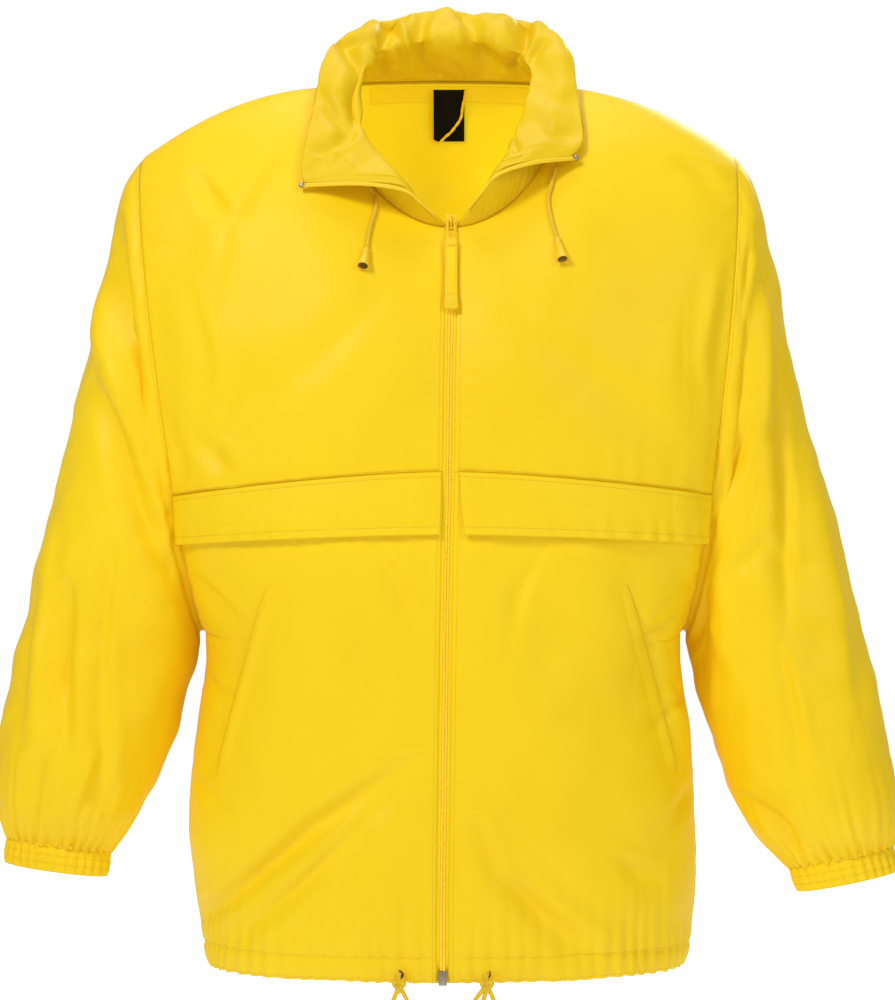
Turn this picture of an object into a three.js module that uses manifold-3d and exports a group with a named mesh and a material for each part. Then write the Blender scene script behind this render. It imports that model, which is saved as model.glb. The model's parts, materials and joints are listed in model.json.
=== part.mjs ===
// A light nylon windbreaker, filled out as if worn, with no wearer. Millimetres, +Z up, the front faces -Y.
// The origin is the middle of the neck, level with the inner ends of the shoulder seams.
// Left and right are the wearer's, so the wearer's left is +X.
import * as THREE from "three";
import { mergeVertices } from "three/addons/utils/BufferGeometryUtils.js";
import Module from "manifold-3d";

const wasm = await Module();
wasm.setup();

// cloth and seams
const clothWall = 1.4;
const seamGap = 0.36;
const sleeveDrawIn = 0.7;
const collarDrawIn = 0.7;

// zip and front edges
const zipHalfWidth = 4.6;
const coilWidth = 3.9;
const tapeReach = 11.5;
const tapeThick = 1;

// counts of rows and columns
const frontColumns = 10;
const neckColumns = 5;
const backNeckColumns = 4;
const upperRows = 8;
const armholeRows = [122.1, 129, 141, 153, 166, 180];
const seamAngle = 115.6;
const sideRowCount = 7;
const bandFactor = 3;

// heights along the centre front, from the hem band to the chest seam
const hemZ = -752;
const bandZ = -731;
const chestSeamZ = -330;
const armholeCentreZ = [-356, -382, -411, -440, -468, -496];

// depth of the body on its centre line, and where the zip runs
const frontCentre = [
  { z: -752, y: -136, zipX: -4 },
  { z: -700, y: -142, zipX: -4 },
  { z: -600, y: -144, zipX: -3 },
  { z: -440, y: -142, zipX: -1 },
  { z: -330, y: -138, zipX: 1 },
  { z: -240, y: -128, zipX: 2 },
  { z: -180, y: -110, zipX: 3 },
  { z: -123, y: -80, zipX: 3 },
];
const backCentre = [
  { z: -752, y: 108 },
  { z: -700, y: 116 },
  { z: -600, y: 122 },
  { z: -440, y: 128 },
  { z: -330, y: 131 },
  { z: -240, y: 129 },
  { z: -180, y: 123 },
  { z: -120, y: 113 },
  { z: -60, y: 94 },
  { z: 15, y: 62 },
];

// the two sides, each with its side seam, armhole, shoulder and sleeve
const right = {
  name: "right",
  sign: -1,
  shoulder: { x: 264, y: 4, z: -60 },
  underarm: { x: 208, y: 2, z: -465 },
  armholeBow: 8,
  shoulderBow: 16,
  sideSeam: [
    { z: -752, x: 203, y: -2 },
    { z: -730, x: 209, y: -1 },
    { z: -680, x: 217, y: 0 },
    { z: -625, x: 222, y: 0 },
    { z: -580, x: 219, y: 1 },
    { z: -530, x: 213, y: 2 },
    { z: -495, x: 208, y: 2 },
    { z: -465, x: 208, y: 2 },
  ],
  sleeve: [
    { at: 0, outX: 264, outZ: -60, inX: 208, inZ: -465, front: 78, back: 72, y: 3 },
    { at: 1, outX: 277, outZ: -81, inX: 214.5, inZ: -466.5, front: 79, back: 74, y: 2 },
    { at: 2, outX: 287, outZ: -116, inX: 214.5, inZ: -475, front: 79, back: 74, y: 1 },
    { at: 3, outX: 297, outZ: -163, inX: 216, inZ: -483, front: 77, back: 74, y: 0 },
    { at: 4, outX: 308, outZ: -220, inX: 218, inZ: -492, front: 75, back: 73, y: -2 },
    { at: 5, outX: 322, outZ: -280, inX: 220, inZ: -502, front: 73, back: 72, y: -4 },
    { at: 6, outX: 336, outZ: -338, inX: 223, inZ: -514, front: 71, back: 71, y: -6 },
    { at: 7, outX: 350, outZ: -395, inX: 227, inZ: -528, front: 70, back: 70, y: -8 },
    { at: 8, outX: 363, outZ: -450, inX: 232, inZ: -545, front: 68, back: 68, y: -11 },
    { at: 9, outX: 374, outZ: -502, inX: 239, inZ: -564, front: 66, back: 66, y: -14 },
    { at: 10, outX: 384, outZ: -552, inX: 247, inZ: -584, front: 63, back: 63, y: -17 },
    { at: 11, outX: 388, outZ: -592, inX: 258, inZ: -608, front: 58, back: 58, y: -20 },
    { at: 12, outX: 385, outZ: -619, inX: 271, inZ: -630, front: 48, back: 48, y: -23 },
    { at: 13, outX: 376, outZ: -642, inX: 290, inZ: -654, front: 27, back: 27, y: -26 },
  ],
  cuffDrop: { x: 2, y: -2, z: -21 },
  collarCord: [
    [-68, -68.4, -88],
    [-61.5, -70.2, -94],
    [-60, -76.3, -102],
    [-61, -83, -110],
    [-64, -91.5, -121],
    [-66, -98.3, -131.5],
    [-67.2, -104.8, -142],
  ],
  bellEnd: [-70.3, -116.6, -158.5],
};
const left = {
  name: "left",
  sign: 1,
  shoulder: { x: 247, y: 4, z: -56 },
  underarm: { x: 200, y: 2, z: -465 },
  armholeBow: 10,
  shoulderBow: 12,
  sideSeam: [
    { z: -752, x: 203, y: -2 },
    { z: -730, x: 208, y: -1 },
    { z: -680, x: 213, y: 0 },
    { z: -620, x: 212, y: 0 },
    { z: -560, x: 209, y: 1 },
    { z: -525, x: 204, y: 2 },
    { z: -495, x: 200, y: 2 },
    { z: -465, x: 200, y: 2 },
  ],
  sleeve: [
    { at: 0, outX: 247, outZ: -56, inX: 200, inZ: -465, front: 78, back: 72, y: 3 },
    { at: 1, outX: 261, outZ: -76, inX: 206.5, inZ: -466.5, front: 79, back: 74, y: 2 },
    { at: 2, outX: 272, outZ: -112, inX: 206.5, inZ: -475, front: 79, back: 74, y: 1 },
    { at: 3, outX: 283, outZ: -160, inX: 208, inZ: -483, front: 77, back: 74, y: 0 },
    { at: 4, outX: 294, outZ: -220, inX: 210, inZ: -492, front: 75, back: 73, y: -2 },
    { at: 5, outX: 309, outZ: -282, inX: 213, inZ: -503, front: 73, back: 72, y: -4 },
    { at: 6, outX: 326, outZ: -340, inX: 216, inZ: -516, front: 71, back: 71, y: -6 },
    { at: 7, outX: 341, outZ: -398, inX: 220, inZ: -531, front: 70, back: 70, y: -8 },
    { at: 8, outX: 355, outZ: -454, inX: 226, inZ: -549, front: 68, back: 68, y: -11 },
    { at: 9, outX: 367, outZ: -508, inX: 232, inZ: -570, front: 66, back: 66, y: -14 },
    { at: 10, outX: 378, outZ: -560, inX: 239, inZ: -590, front: 63, back: 63, y: -17 },
    { at: 11, outX: 385, outZ: -600, inX: 250, inZ: -616, front: 58, back: 58, y: -20 },
    { at: 12, outX: 386, outZ: -628, inX: 265, inZ: -640, front: 48, back: 48, y: -23 },
    { at: 13, outX: 380, outZ: -650, inX: 294, inZ: -668, front: 27, back: 27, y: -26 },
  ],
  cuffDrop: { x: 6, y: -2, z: -20 },
  collarCord: [
    [92, -65.4, -70],
    [90, -70.4, -78],
    [87.5, -76.7, -88],
    [85, -82.3, -98],
    [85.5, -89.2, -109],
    [88, -97.7, -122],
    [91.5, -103.6, -134],
  ],
  bellEnd: [95.8, -116, -153],
};
const sides = [right, left];

// neck seam: half width and depth of its loop, and how far it drops at the front and rises at the back
const neck = { halfWidth: 103, y: -8, depth: 70, sideZ: 2, frontDrop: 125, backRise: 13 };

// collar sections from the front end (phi near 0) round to the middle of the back (phi 180):
// crest is the edge of the opening, edge is the free or top edge, span is the depth of the roll
const collarRight = [
  { phi: 2.56, crestX: -40, crestY: -93, crestZ: -84, edgeX: -121, edgeY: -86, edgeZ: -86, span: 4, drop: 6 },
  { phi: 14, crestX: -47, crestY: -84, crestZ: -74, edgeX: -123, edgeY: -81, edgeZ: -77, span: 5, drop: 6 },
  { phi: 30, crestX: -60, crestY: -68, crestZ: -58, edgeX: -122, edgeY: -73, edgeZ: -63, span: 6, drop: 6 },
  { phi: 50, crestX: -73, crestY: -48, crestZ: -38, edgeX: -119, edgeY: -60, edgeZ: -43, span: 8, drop: 6 },
  { phi: 68, crestX: -78, crestY: -30, crestZ: -12, edgeX: -113, edgeY: -36, edgeZ: -11, span: 11, drop: 5 },
  { phi: 84, crestX: -74, crestY: -12, crestZ: 14, edgeX: -108, edgeY: -8, edgeZ: 22, span: 18, drop: 3 },
  { phi: 100, crestX: -67, crestY: 3, crestZ: 28, edgeX: -98, edgeY: 12, edgeZ: 44, span: 28, drop: 1 },
  { phi: 120, crestX: -56, crestY: 14, crestZ: 38, edgeX: -80, edgeY: 30, edgeZ: 57, span: 36, drop: 0 },
  { phi: 145, crestX: -36, crestY: 22, crestZ: 45, edgeX: -48, edgeY: 46, edgeZ: 70, span: 42, drop: 0 },
  { phi: 180, crestX: 0, crestY: 25, crestZ: 50, edgeX: 0, edgeY: 54, edgeZ: 79, span: 46, drop: 0 },
];
const collarLeft = [
  { phi: 2.56, crestX: 46, crestY: -92, crestZ: -70, edgeX: 106, edgeY: -74, edgeZ: -62, span: 4, drop: 6 },
  { phi: 14, crestX: 50, crestY: -84, crestZ: -62, edgeX: 113, edgeY: -68, edgeZ: -54, span: 5, drop: 6 },
  { phi: 30, crestX: 56, crestY: -68, crestZ: -50, edgeX: 115, edgeY: -61, edgeZ: -44, span: 6, drop: 6 },
  { phi: 50, crestX: 62, crestY: -48, crestZ: -32, edgeX: 114, edgeY: -51, edgeZ: -30, span: 8, drop: 6 },
  { phi: 68, crestX: 68, crestY: -30, crestZ: -10, edgeX: 111, edgeY: -31, edgeZ: -6, span: 11, drop: 5 },
  { phi: 84, crestX: 72, crestY: -12, crestZ: 12, edgeX: 108, edgeY: -8, edgeZ: 24, span: 18, drop: 3 },
  { phi: 100, crestX: 67, crestY: 3, crestZ: 28, edgeX: 100, edgeY: 12, edgeZ: 44, span: 28, drop: 1 },
  { phi: 120, crestX: 56, crestY: 14, crestZ: 38, edgeX: 84, edgeY: 30, edgeZ: 59, span: 36, drop: 0 },
  { phi: 145, crestX: 36, crestY: 22, crestZ: 45, edgeX: 50, edgeY: 46, edgeZ: 71, span: 42, drop: 0 },
  { phi: 180, crestX: 0, crestY: 25, crestZ: 50, edgeX: 0, edgeY: 54, edgeZ: 79, span: 46, drop: 0 },
];
const collarPerColumn = 2;
const collarAround = 12;

// large folds in the cloth: from, to, half width and depth (a trough is below zero), on the front or the back
const folds = [
  { name: "right sleeve long trough", x1: -292, z1: -120, x2: -232, z2: -330, half: 17, depth: -9, face: -1 },
  { name: "right sleeve arch", x1: -300, z1: -258, x2: -240, z2: -408, half: 15, depth: -8, face: -1 },
  { name: "right sleeve hang", x1: -325, z1: -430, x2: -328, z2: -560, half: 16, depth: -8, face: -1 },
  { name: "right sleeve gather", x1: -345, z1: -560, x2: -352, z2: -630, half: 12, depth: -6, face: -1 },
  { name: "left sleeve long trough", x1: 262, z1: -140, x2: 236, z2: -330, half: 17, depth: -9, face: -1 },
  { name: "left sleeve arch", x1: 272, z1: -285, x2: 232, z2: -360, half: 15, depth: -7, face: -1 },
  { name: "left sleeve hang", x1: 293, z1: -225, x2: 292, z2: -460, half: 14, depth: -7, face: -1 },
  { name: "left sleeve gather", x1: 262, z1: -600, x2: 300, z2: -650, half: 12, depth: -6, face: -1 },
  { name: "right hem drape", x1: -232, z1: -735, x2: -20, z2: -560, half: 24, depth: -7, face: -1 },
  { name: "left hem drape", x1: 30, z1: -620, x2: 120, z2: -735, half: 22, depth: -6, face: -1 },
  { name: "right underarm drape", x1: -215, z1: -330, x2: -150, z2: -250, half: 22, depth: -6, face: -1 },
  { name: "left pocket drape", x1: 150, z1: -410, x2: 190, z2: -600, half: 16, depth: -6, face: -1 },
  { name: "back right drape", x1: -215, z1: -340, x2: -70, z2: -620, half: 26, depth: -9, face: 1 },
  { name: "back left drape", x1: 215, z1: -340, x2: 90, z2: -650, half: 26, depth: -8, face: 1 },
  { name: "back middle drape", x1: -20, z1: -420, x2: 10, z2: -700, half: 30, depth: -7, face: 1 },
  { name: "back right sleeve", x1: -285, z1: -170, x2: -250, z2: -400, half: 18, depth: -9, face: 1 },
  { name: "back left sleeve", x1: 275, z1: -180, x2: 240, z2: -400, half: 18, depth: -9, face: 1 },
  { name: "back right elbow", x1: -372, z1: -430, x2: -260, z2: -520, half: 16, depth: -7, face: 1 },
  { name: "back left elbow", x1: 365, z1: -420, x2: 255, z2: -520, half: 16, depth: -7, face: 1 },
];

// how far from the zip no fold reaches
const zipCalm = { none: 25, full: 75 };

// chest flap rows below the chest seam: how many rows down, how far out, and its set-back from the zip
const flapRows = [
  { down: 0, lift: 2, zipInset: { right: 1, left: 4 } },
  { down: 1, lift: 3.2, zipInset: { right: 1, left: 6 } },
  { down: 2, lift: 5, zipInset: { right: 1, left: 9 } },
];
const flapSideInset = 2;

// slanted pocket mouth on each front, and its welt
const pocketMouth = { top: { x: 145, z: -404 }, foot: { x: 196, z: -590 }, width: 13, stations: 16 };
const weltLift = 2.2;

// hem eyelets: ring, hole and place on each front
const eyelet = { hole: 2.6, ring: 5.2, thick: 1.2, lift: 1.7, right: { x: -40.4, z: -744 }, left: { x: 32, z: -744 } };

// cords: collar cords with moulded bells, hem cords with a knot
const collarCord = { radius: 1.7, sides: 8, bellStart: 1.6, bellTop: 2.7, bellMouth: 5.4, bellWall: 1.1 };
const hemCord = { radius: 1.9, sides: 8 };
const knot = { radius: 5.3, forward: 7.5 };
const hemStrands = [
  { name: "hem_cord_right_1", side: right, x: -42.5, footX: -51.5, footZ: -797 },
  { name: "hem_cord_right_2", side: right, x: -35.5, footX: -25.5, footZ: -794 },
  { name: "hem_cord_left_1", side: left, x: 24.5, footX: 10.5, footZ: -795 },
  { name: "hem_cord_left_2", side: left, x: 31.5, footX: 24, footZ: -799 },
  { name: "hem_cord_left_3", side: left, x: 36, footX: 44.5, footZ: -793 },
];

// slider: body size, its tilt, and the arch that carries the pull
const slider = { x: 3, y: -79.5, z: -120.5, tilt: -28, width: 10, foot: 7.6, height: 14, thick: 3.6 };
const arch = { width: 2.6, height: 9.5, rise: 4.2, bar: 1.3 };
const pull = { tilt: -27, pin: 0.8, pinLength: 6.6, barWidth: 1.5, linkLength: 20, width: 11, length: 68, thick: 2.4 };
const zipBox = { width: 7, height: 12, thick: 4, gap: 0.6 };

// inside the back of the neck: tape, label and hanging loop
const neckTape = { fromX: -68, toX: 71, topZ: 2, drop: 13, stations: 12, thick: 0.9, lift: -1.9 };
const label = { fromX: -12.4, toX: 15, topZ: 10, footZ: -33, thick: 0.8, lift: -3.15 };
const loop = { radius: 1.25, lift: -5.3 };
const loopPath = [
  { x: -14.9, z: 9 },
  { x: -15.2, z: -12 },
  { x: -13.6, z: -31 },
  { x: -8, z: -34.5 },
  { x: 0, z: -27.6 },
  { x: 8.8, z: -18.8 },
  { x: 13.6, z: -5.6 },
  { x: 15.5, z: 9 },
];

// open stretch of the zip and its stop
const openZip = { radius: 2, reach: 2.4, last: 5 };
const topStop = { radius: 2.6, length: 4 };
const coilInner = 0.25;

// colours and finishes
const nylonYellow = new THREE.MeshStandardMaterial({ color: 0xf7d000, roughness: 0.42, metalness: 0 });
const cordYellow = new THREE.MeshStandardMaterial({ color: 0xf2cc12, roughness: 0.7, metalness: 0 });
const mouldedYellow = new THREE.MeshStandardMaterial({ color: 0xf4cd0c, roughness: 0.35, metalness: 0 });
const labelBlack = new THREE.MeshStandardMaterial({ color: 0x17171a, roughness: 0.55, metalness: 0 });
const stopMetal = new THREE.MeshStandardMaterial({ color: 0xb7a58c, roughness: 0.35, metalness: 0.9 });

const jacket = new THREE.Group();
const V = (x, y, z) => new THREE.Vector3(x, y, z);
const radians = THREE.MathUtils.degToRad;
const mix = THREE.MathUtils.lerp;

// A named mesh in the jacket.
function addPiece(name, geometry, material) {
  const mesh = new THREE.Mesh(geometry, material);
  mesh.name = name;
  jacket.add(mesh);
}

// All columns of a table at one place along it, smoothly between its rows.
function readTable(rows, along, at) {
  const forward = rows[0][along] < rows[rows.length - 1][along];
  const sorted = forward ? rows : [...rows].reverse();
  const place = Math.min(Math.max(at, sorted[0][along]), sorted[sorted.length - 1][along]);
  let i = 0;
  while (i < sorted.length - 2 && sorted[i + 1][along] < place) i++;
  const a = sorted[i];
  const b = sorted[i + 1];
  const before = sorted[Math.max(i - 1, 0)];
  const after = sorted[Math.min(i + 2, sorted.length - 1)];
  const step = b[along] - a[along];
  const t = (place - a[along]) / step;
  const found = {};
  for (const key of Object.keys(a)) {
    const slopeA = (b[key] - before[key]) / (b[along] - before[along]);
    const slopeB = (after[key] - a[key]) / (after[along] - a[along]);
    const h = t * t * (3 - 2 * t);
    found[key] =
      a[key] * (1 - h) + b[key] * h + step * (slopeA * t * (1 - t) ** 2 - slopeB * t * t * (1 - t));
  }
  return found;
}

// A point of the neck seam, phi degrees from the front round to the back.
function neckPoint(side, phi) {
  const turn = radians(phi);
  const lean = readTable(frontCentre, "z", -123).zipX * Math.max(Math.cos(turn), 0) ** 2;
  const z =
    phi < 90
      ? neck.sideZ - neck.frontDrop * Math.cos(turn) ** 1.3
      : neck.sideZ + neck.backRise * -Math.cos(turn);
  return V(lean + side.sign * neck.halfWidth * Math.sin(turn), neck.y - neck.depth * Math.cos(turn), z);
}

// A point of the shoulder seam, from the neck (0) to the armhole (1).
function shoulderPoint(side, t) {
  const a = neckPoint(side, 90);
  const s = side.shoulder;
  const bow = side.shoulderBow * Math.sin(Math.PI * t) ** 0.8;
  return V(mix(a.x, side.sign * s.x, t), mix(a.y, s.y, t), mix(a.z, s.z, t) + bow);
}

// A point of the armhole loop, from the shoulder (0 degrees) down the front or the back to the underarm (180).
function armholePoint(side, degrees, face) {
  const turn = radians(degrees);
  const top = side.shoulder;
  const foot = side.underarm;
  const half = (1 + Math.cos(turn)) / 2;
  const depth = face < 0 ? side.sleeve[0].front : side.sleeve[0].back;
  const x = mix(foot.x, top.x, half) + side.armholeBow * Math.sin(turn);
  return V(side.sign * x, mix(foot.y, top.y, half) + face * depth * Math.sin(turn), mix(foot.z, top.z, half));
}

// A point of the side seam at a height.
function sidePoint(side, z) {
  const row = readTable(side.sideSeam, "z", z);
  return V(side.sign * row.x, row.y, z);
}

// The places of the rows from the hem band up to the shoulder: at the side, and on the centre line.
function bodyRows(side, face) {
  const rows = [];
  for (let i = 0; i < sideRowCount; i++) {
    const t = i / sideRowCount;
    rows.push({ edge: sidePoint(side, mix(bandZ, side.underarm.z, t)), z: mix(bandZ, armholeCentreZ[armholeCentreZ.length - 1], t), open: 0 });
  }
  armholeRows
    .map((angle, i) => ({ angle, z: armholeCentreZ[i] }))
    .reverse()
    .forEach(({ angle, z }) =>
      rows.push({ edge: armholePoint(side, angle, face), z, open: (180 - angle) / (180 - seamAngle) }),
    );
  rows.push({ edge: armholePoint(side, seamAngle, face), z: chestSeamZ, open: 1 });
  return rows;
}

// One section of the body: from the centre line to the side, full and round where it meets the side seam.
function sectionPoint(centre, edge, alpha, open) {
  const across = Math.sin(alpha) ** mix(0.8, 0.92, open);
  const through = Math.cos(alpha) ** mix(0.8, 1.15, open);
  return V(
    mix(centre.x, edge.x, across),
    mix(edge.y, centre.y, through),
    mix(centre.z, edge.z, across ** 1.5),
  );
}

// The centre front edge of a front, beside the zip.
function frontEdge(side, z) {
  const row = readTable(frontCentre, "z", z);
  return V(row.zipX + side.sign * zipHalfWidth, row.y, z);
}

// A row of a front, from the zip to the side.
function frontRow(side, centre, edge, open, columns = frontColumns) {
  const points = [];
  for (let j = 0; j <= columns; j++) points.push(sectionPoint(centre, edge, (Math.PI / 2) * (j / columns), open));
  return points;
}

// Fills a patch between four rows of points, rounded over towards its top edge.
function fillPatch(bottom, top, first, last, roundness, swell) {
  const rows = [];
  for (let i = 0; i < first.length; i++) {
    const v = i / (first.length - 1);
    const row = [];
    for (let j = 0; j < bottom.length; j++) {
      const u = j / (bottom.length - 1);
      const r = roundness(u);
      const wy = mix(v, 1 - Math.cos((Math.PI / 2) * v), r);
      const wz = mix(v, Math.sin((Math.PI / 2) * v), r);
      const place = V(0, 0, 0);
      for (const [axis, w] of [["x", v], ["y", wy], ["z", wz]]) {
        const a = first[i][axis] - mix(bottom[0][axis], top[0][axis], w);
        const b = last[i][axis] - mix(bottom[bottom.length - 1][axis], top[top.length - 1][axis], w);
        place[axis] = mix(bottom[j][axis], top[j][axis], w) + mix(a, b, u);
      }
      place.y += swell * 16 * u * (1 - u) * v * (1 - v);
      row.push(place);
    }
    rows.push(row);
  }
  return rows;
}

// Joins rows of points into a sheet of triangles; a row may be finer than the one before by a whole factor.
function sheetOf(rows, closed = false, flip = false) {
  const points = rows.flat();
  const triangles = [];
  let base = 0;
  for (let i = 0; i + 1 < rows.length; i++) {
    const lower = rows[i].length;
    const upper = rows[i + 1].length;
    const lowerSteps = closed ? lower : lower - 1;
    const upperSteps = closed ? upper : upper - 1;
    const fineAbove = upperSteps >= lowerSteps;
    const factor = fineAbove ? upperSteps / lowerSteps : lowerSteps / upperSteps;
    const coarse = (j) => (fineAbove ? base + (j % lower) : base + lower + (j % upper));
    const fine = (j) => (fineAbove ? base + lower + (j % upper) : base + (j % lower));
    const turned = fineAbove ? flip : !flip;
    for (let j = 0; j < Math.min(lowerSteps, upperSteps); j++) {
      const middle = Math.floor(factor / 2);
      const add = (a, b, c) => triangles.push(turned ? [a, c, b] : [a, b, c]);
      for (let k = 0; k < middle; k++) add(coarse(j), fine(j * factor + k + 1), fine(j * factor + k));
      add(coarse(j), coarse(j + 1), fine(j * factor + middle));
      for (let k = middle; k < factor; k++) add(coarse(j + 1), fine(j * factor + k + 1), fine(j * factor + k));
    }
    base += lower;
  }
  return { points, triangles };
}

const keyOf = (p) => [p.x, p.y, p.z].map((v) => Math.round(v * 100)).join(" ");

// The normals of one sheet at its points.
function ownNormals({ points, triangles }) {
  const sums = points.map(() => V(0, 0, 0));
  for (const [a, b, c] of triangles) {
    const face = points[b].clone().sub(points[a]).cross(points[c].clone().sub(points[a]));
    for (const k of [a, b, c]) sums[k].add(face);
  }
  return sums.map((sum) => sum.normalize());
}

// Normals of several sheets together, shared where their points coincide, so that seams stay closed.
function shareNormals(sheets) {
  const sums = new Map();
  for (const sheet of sheets) {
    const own = ownNormals(sheet);
    sheet.points.forEach((p, i) => {
      const key = keyOf(p);
      sums.set(key, (sums.get(key) ?? V(0, 0, 0)).add(own[i]));
    });
  }
  for (const sheet of sheets) sheet.normals = sheet.points.map((p) => sums.get(keyOf(p)).clone().normalize());
}

// How far a fold pushes the cloth at a point with this normal.
function foldPush(p, normal) {
  let push = 0;
  for (const f of folds) {
    const facing = THREE.MathUtils.smoothstep(f.face * normal.y, 0.05, 0.5);
    if (facing === 0) continue;
    const lengthX = f.x2 - f.x1;
    const lengthZ = f.z2 - f.z1;
    const long = Math.hypot(lengthX, lengthZ);
    const along = ((p.x - f.x1) * lengthX + (p.z - f.z1) * lengthZ) / (long * long);
    if (along < -0.1 || along > 1.1) continue;
    const aside = ((p.x - f.x1) * lengthZ - (p.z - f.z1) * lengthX) / long;
    const taper = Math.sin(Math.PI * ((along + 0.1) / 1.2));
    push += f.depth * facing * taper * Math.exp(-((aside / f.half) ** 2));
  }
  return push;
}

// Moves the points of the sheets along their shared normals.
function pushSheets(sheets, amount) {
  shareNormals(sheets);
  const moved = sheets.map(({ points, normals }) =>
    points.map((p, i) => p.clone().addScaledVector(normals[i], amount(p, normals[i]))),
  );
  sheets.forEach((sheet, i) => {
    sheet.points = moved[i];
  });
}

// The edges that belong to one triangle only, each as [from, to, opposite corner].
function openEdges(triangles) {
  const seen = new Map();
  for (const [a, b, c] of triangles) {
    for (const [from, to, across] of [[a, b, c], [b, c, a], [c, a, b]]) {
      const other = to + " " + from;
      if (seen.has(other)) seen.delete(other);
      else seen.set(from + " " + to, [from, to, across]);
    }
  }
  return [...seen.values()];
}

// A closed wall of cloth about a sheet: its edges are drawn in by half the seam gap.
function wallOf({ points, triangles, normals }, thick = clothWall, drawIn = seamGap / 2, lift = 0) {
  const edges = openEdges(triangles);
  const inward = new Map();
  for (const [from, to, across] of edges) {
    const run = points[to].clone().sub(points[from]).normalize();
    const into = points[across].clone().sub(points[from]);
    into.addScaledVector(run, -into.dot(run)).normalize();
    for (const k of [from, to]) inward.set(k, [...(inward.get(k) ?? []), into]);
  }
  const outer = [];
  const inner = [];
  points.forEach((p, i) => {
    const place = p.clone();
    if (inward.has(i)) {
      const [a, b = a] = inward.get(i);
      place.addScaledVector(a.clone().add(b), drawIn / Math.max(1 + a.dot(b), 0.5));
    }
    outer.push(place.clone().addScaledVector(normals[i], lift + thick / 2));
    inner.push(place.clone().addScaledVector(normals[i], lift - thick / 2));
  });
  const n = points.length;
  const faces = [];
  for (const [a, b, c] of triangles) {
    faces.push([a, b, c], [a + n, c + n, b + n]);
  }
  for (const [from, to] of edges) {
    faces.push([from, from + n, to], [to, from + n, to + n]);
  }
  return closedGeometry([...outer, ...inner], faces);
}

// A geometry from points and faces.
function closedGeometry(points, faces) {
  const geometry = new THREE.BufferGeometry();
  geometry.setAttribute("position", new THREE.Float32BufferAttribute(points.flatMap((p) => [p.x, p.y, p.z]), 3));
  geometry.setIndex(faces.flat());
  return geometry;
}

// A strip or tube of one section, swept through a row of frames and closed at both ends.
function sweep(outline, frames) {
  const clockwise = THREE.ShapeUtils.isClockWise(outline.map(([u, v]) => new THREE.Vector2(u, v)));
  const section = clockwise ? [...outline].reverse() : outline;
  const points = [];
  for (const { at, across, out } of frames) {
    for (const [u, v] of section) points.push(at.clone().addScaledVector(across, u).addScaledVector(out, v));
  }
  const n = section.length;
  const faces = [];
  for (let i = 0; i + 1 < frames.length; i++) {
    for (let j = 0; j < n; j++) {
      const a = i * n + j;
      const b = i * n + ((j + 1) % n);
      faces.push([a, b, b + n], [a, b + n, a + n]);
    }
  }
  const caps = THREE.ShapeUtils.triangulateShape(section.map(([u, v]) => new THREE.Vector2(u, v)), []);
  const last = (frames.length - 1) * n;
  for (const [a, b, c] of caps) {
    faces.push([a, c, b], [a + last, b + last, c + last]);
  }
  const geometry = closedGeometry(points, faces);
  return signedVolume(geometry) < 0 ? reversed(geometry) : geometry;
}

// The volume inside a closed geometry, below zero when its faces point inwards.
function signedVolume(geometry) {
  const at = geometry.getAttribute("position");
  const index = geometry.index.array;
  const corner = (k) => new THREE.Vector3().fromBufferAttribute(at, index[k]);
  let sum = 0;
  for (let i = 0; i < index.length; i += 3) sum += corner(i).dot(corner(i + 1).cross(corner(i + 2)));
  return sum / 6;
}

// The same geometry with its faces turned round.
function reversed(geometry) {
  const index = geometry.index.array;
  for (let i = 0; i < index.length; i += 3) [index[i + 1], index[i + 2]] = [index[i + 2], index[i + 1]];
  return geometry;
}

// A geometry as a solid that can be joined and cut.
function solidOf(geometry) {
  const bare = geometry.clone();
  bare.deleteAttribute("normal");
  bare.deleteAttribute("uv");
  const merged = mergeVertices(bare, 1e-4);
  return new wasm.Manifold(
    new wasm.Mesh({
      numProp: 3,
      vertProperties: merged.attributes.position.array,
      triVerts: new Uint32Array(merged.index.array),
    }),
  );
}

// A solid as a geometry.
function geometryOf(solid) {
  const mesh = solid.getMesh();
  const geometry = new THREE.BufferGeometry();
  geometry.setAttribute("position", new THREE.BufferAttribute(mesh.vertProperties, 3));
  geometry.setIndex(new THREE.BufferAttribute(mesh.triVerts, 1));
  return geometry;
}

// One small wave of gathered cloth for each column of the cloth above it.
function gatherWave(j, depth) {
  return depth * Math.cos((2 * Math.PI * j) / bandFactor);
}

// The hem band of a front or the back: two fine rows below the band line, drawn up in small waves.
function hemBand(coarseRow, hemPoint, waveDepth) {
  const steps = (coarseRow.length - 1) * bandFactor;
  const fineRow = (share) => {
    const row = [];
    for (let j = 0; j <= steps; j++) {
      const k = Math.min(Math.floor(j / bandFactor), coarseRow.length - 2);
      const top = coarseRow[k].clone().lerp(coarseRow[k + 1], j / bandFactor - k);
      const foot = hemPoint(top);
      const place = top.lerp(foot, share);
      const out = V(place.x * 0.35, place.y, 0).normalize();
      const ends = j === 0 || j === steps ? 0 : 1;
      place.addScaledVector(out, ends * share * gatherWave(j, waveDepth));
      place.z += ends * share * gatherWave(j + 1, waveDepth * 0.5);
      row.push(place);
    }
    return row;
  };
  return [fineRow(1), fineRow(0.5)];
}

// Where a point of the band line goes at the hem: straight down and a little inwards.
function hemFoot(p) {
  return V(p.x * 0.975, p.y * 0.96, hemZ + 3 * (Math.abs(p.x) / 210) ** 2);
}

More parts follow.
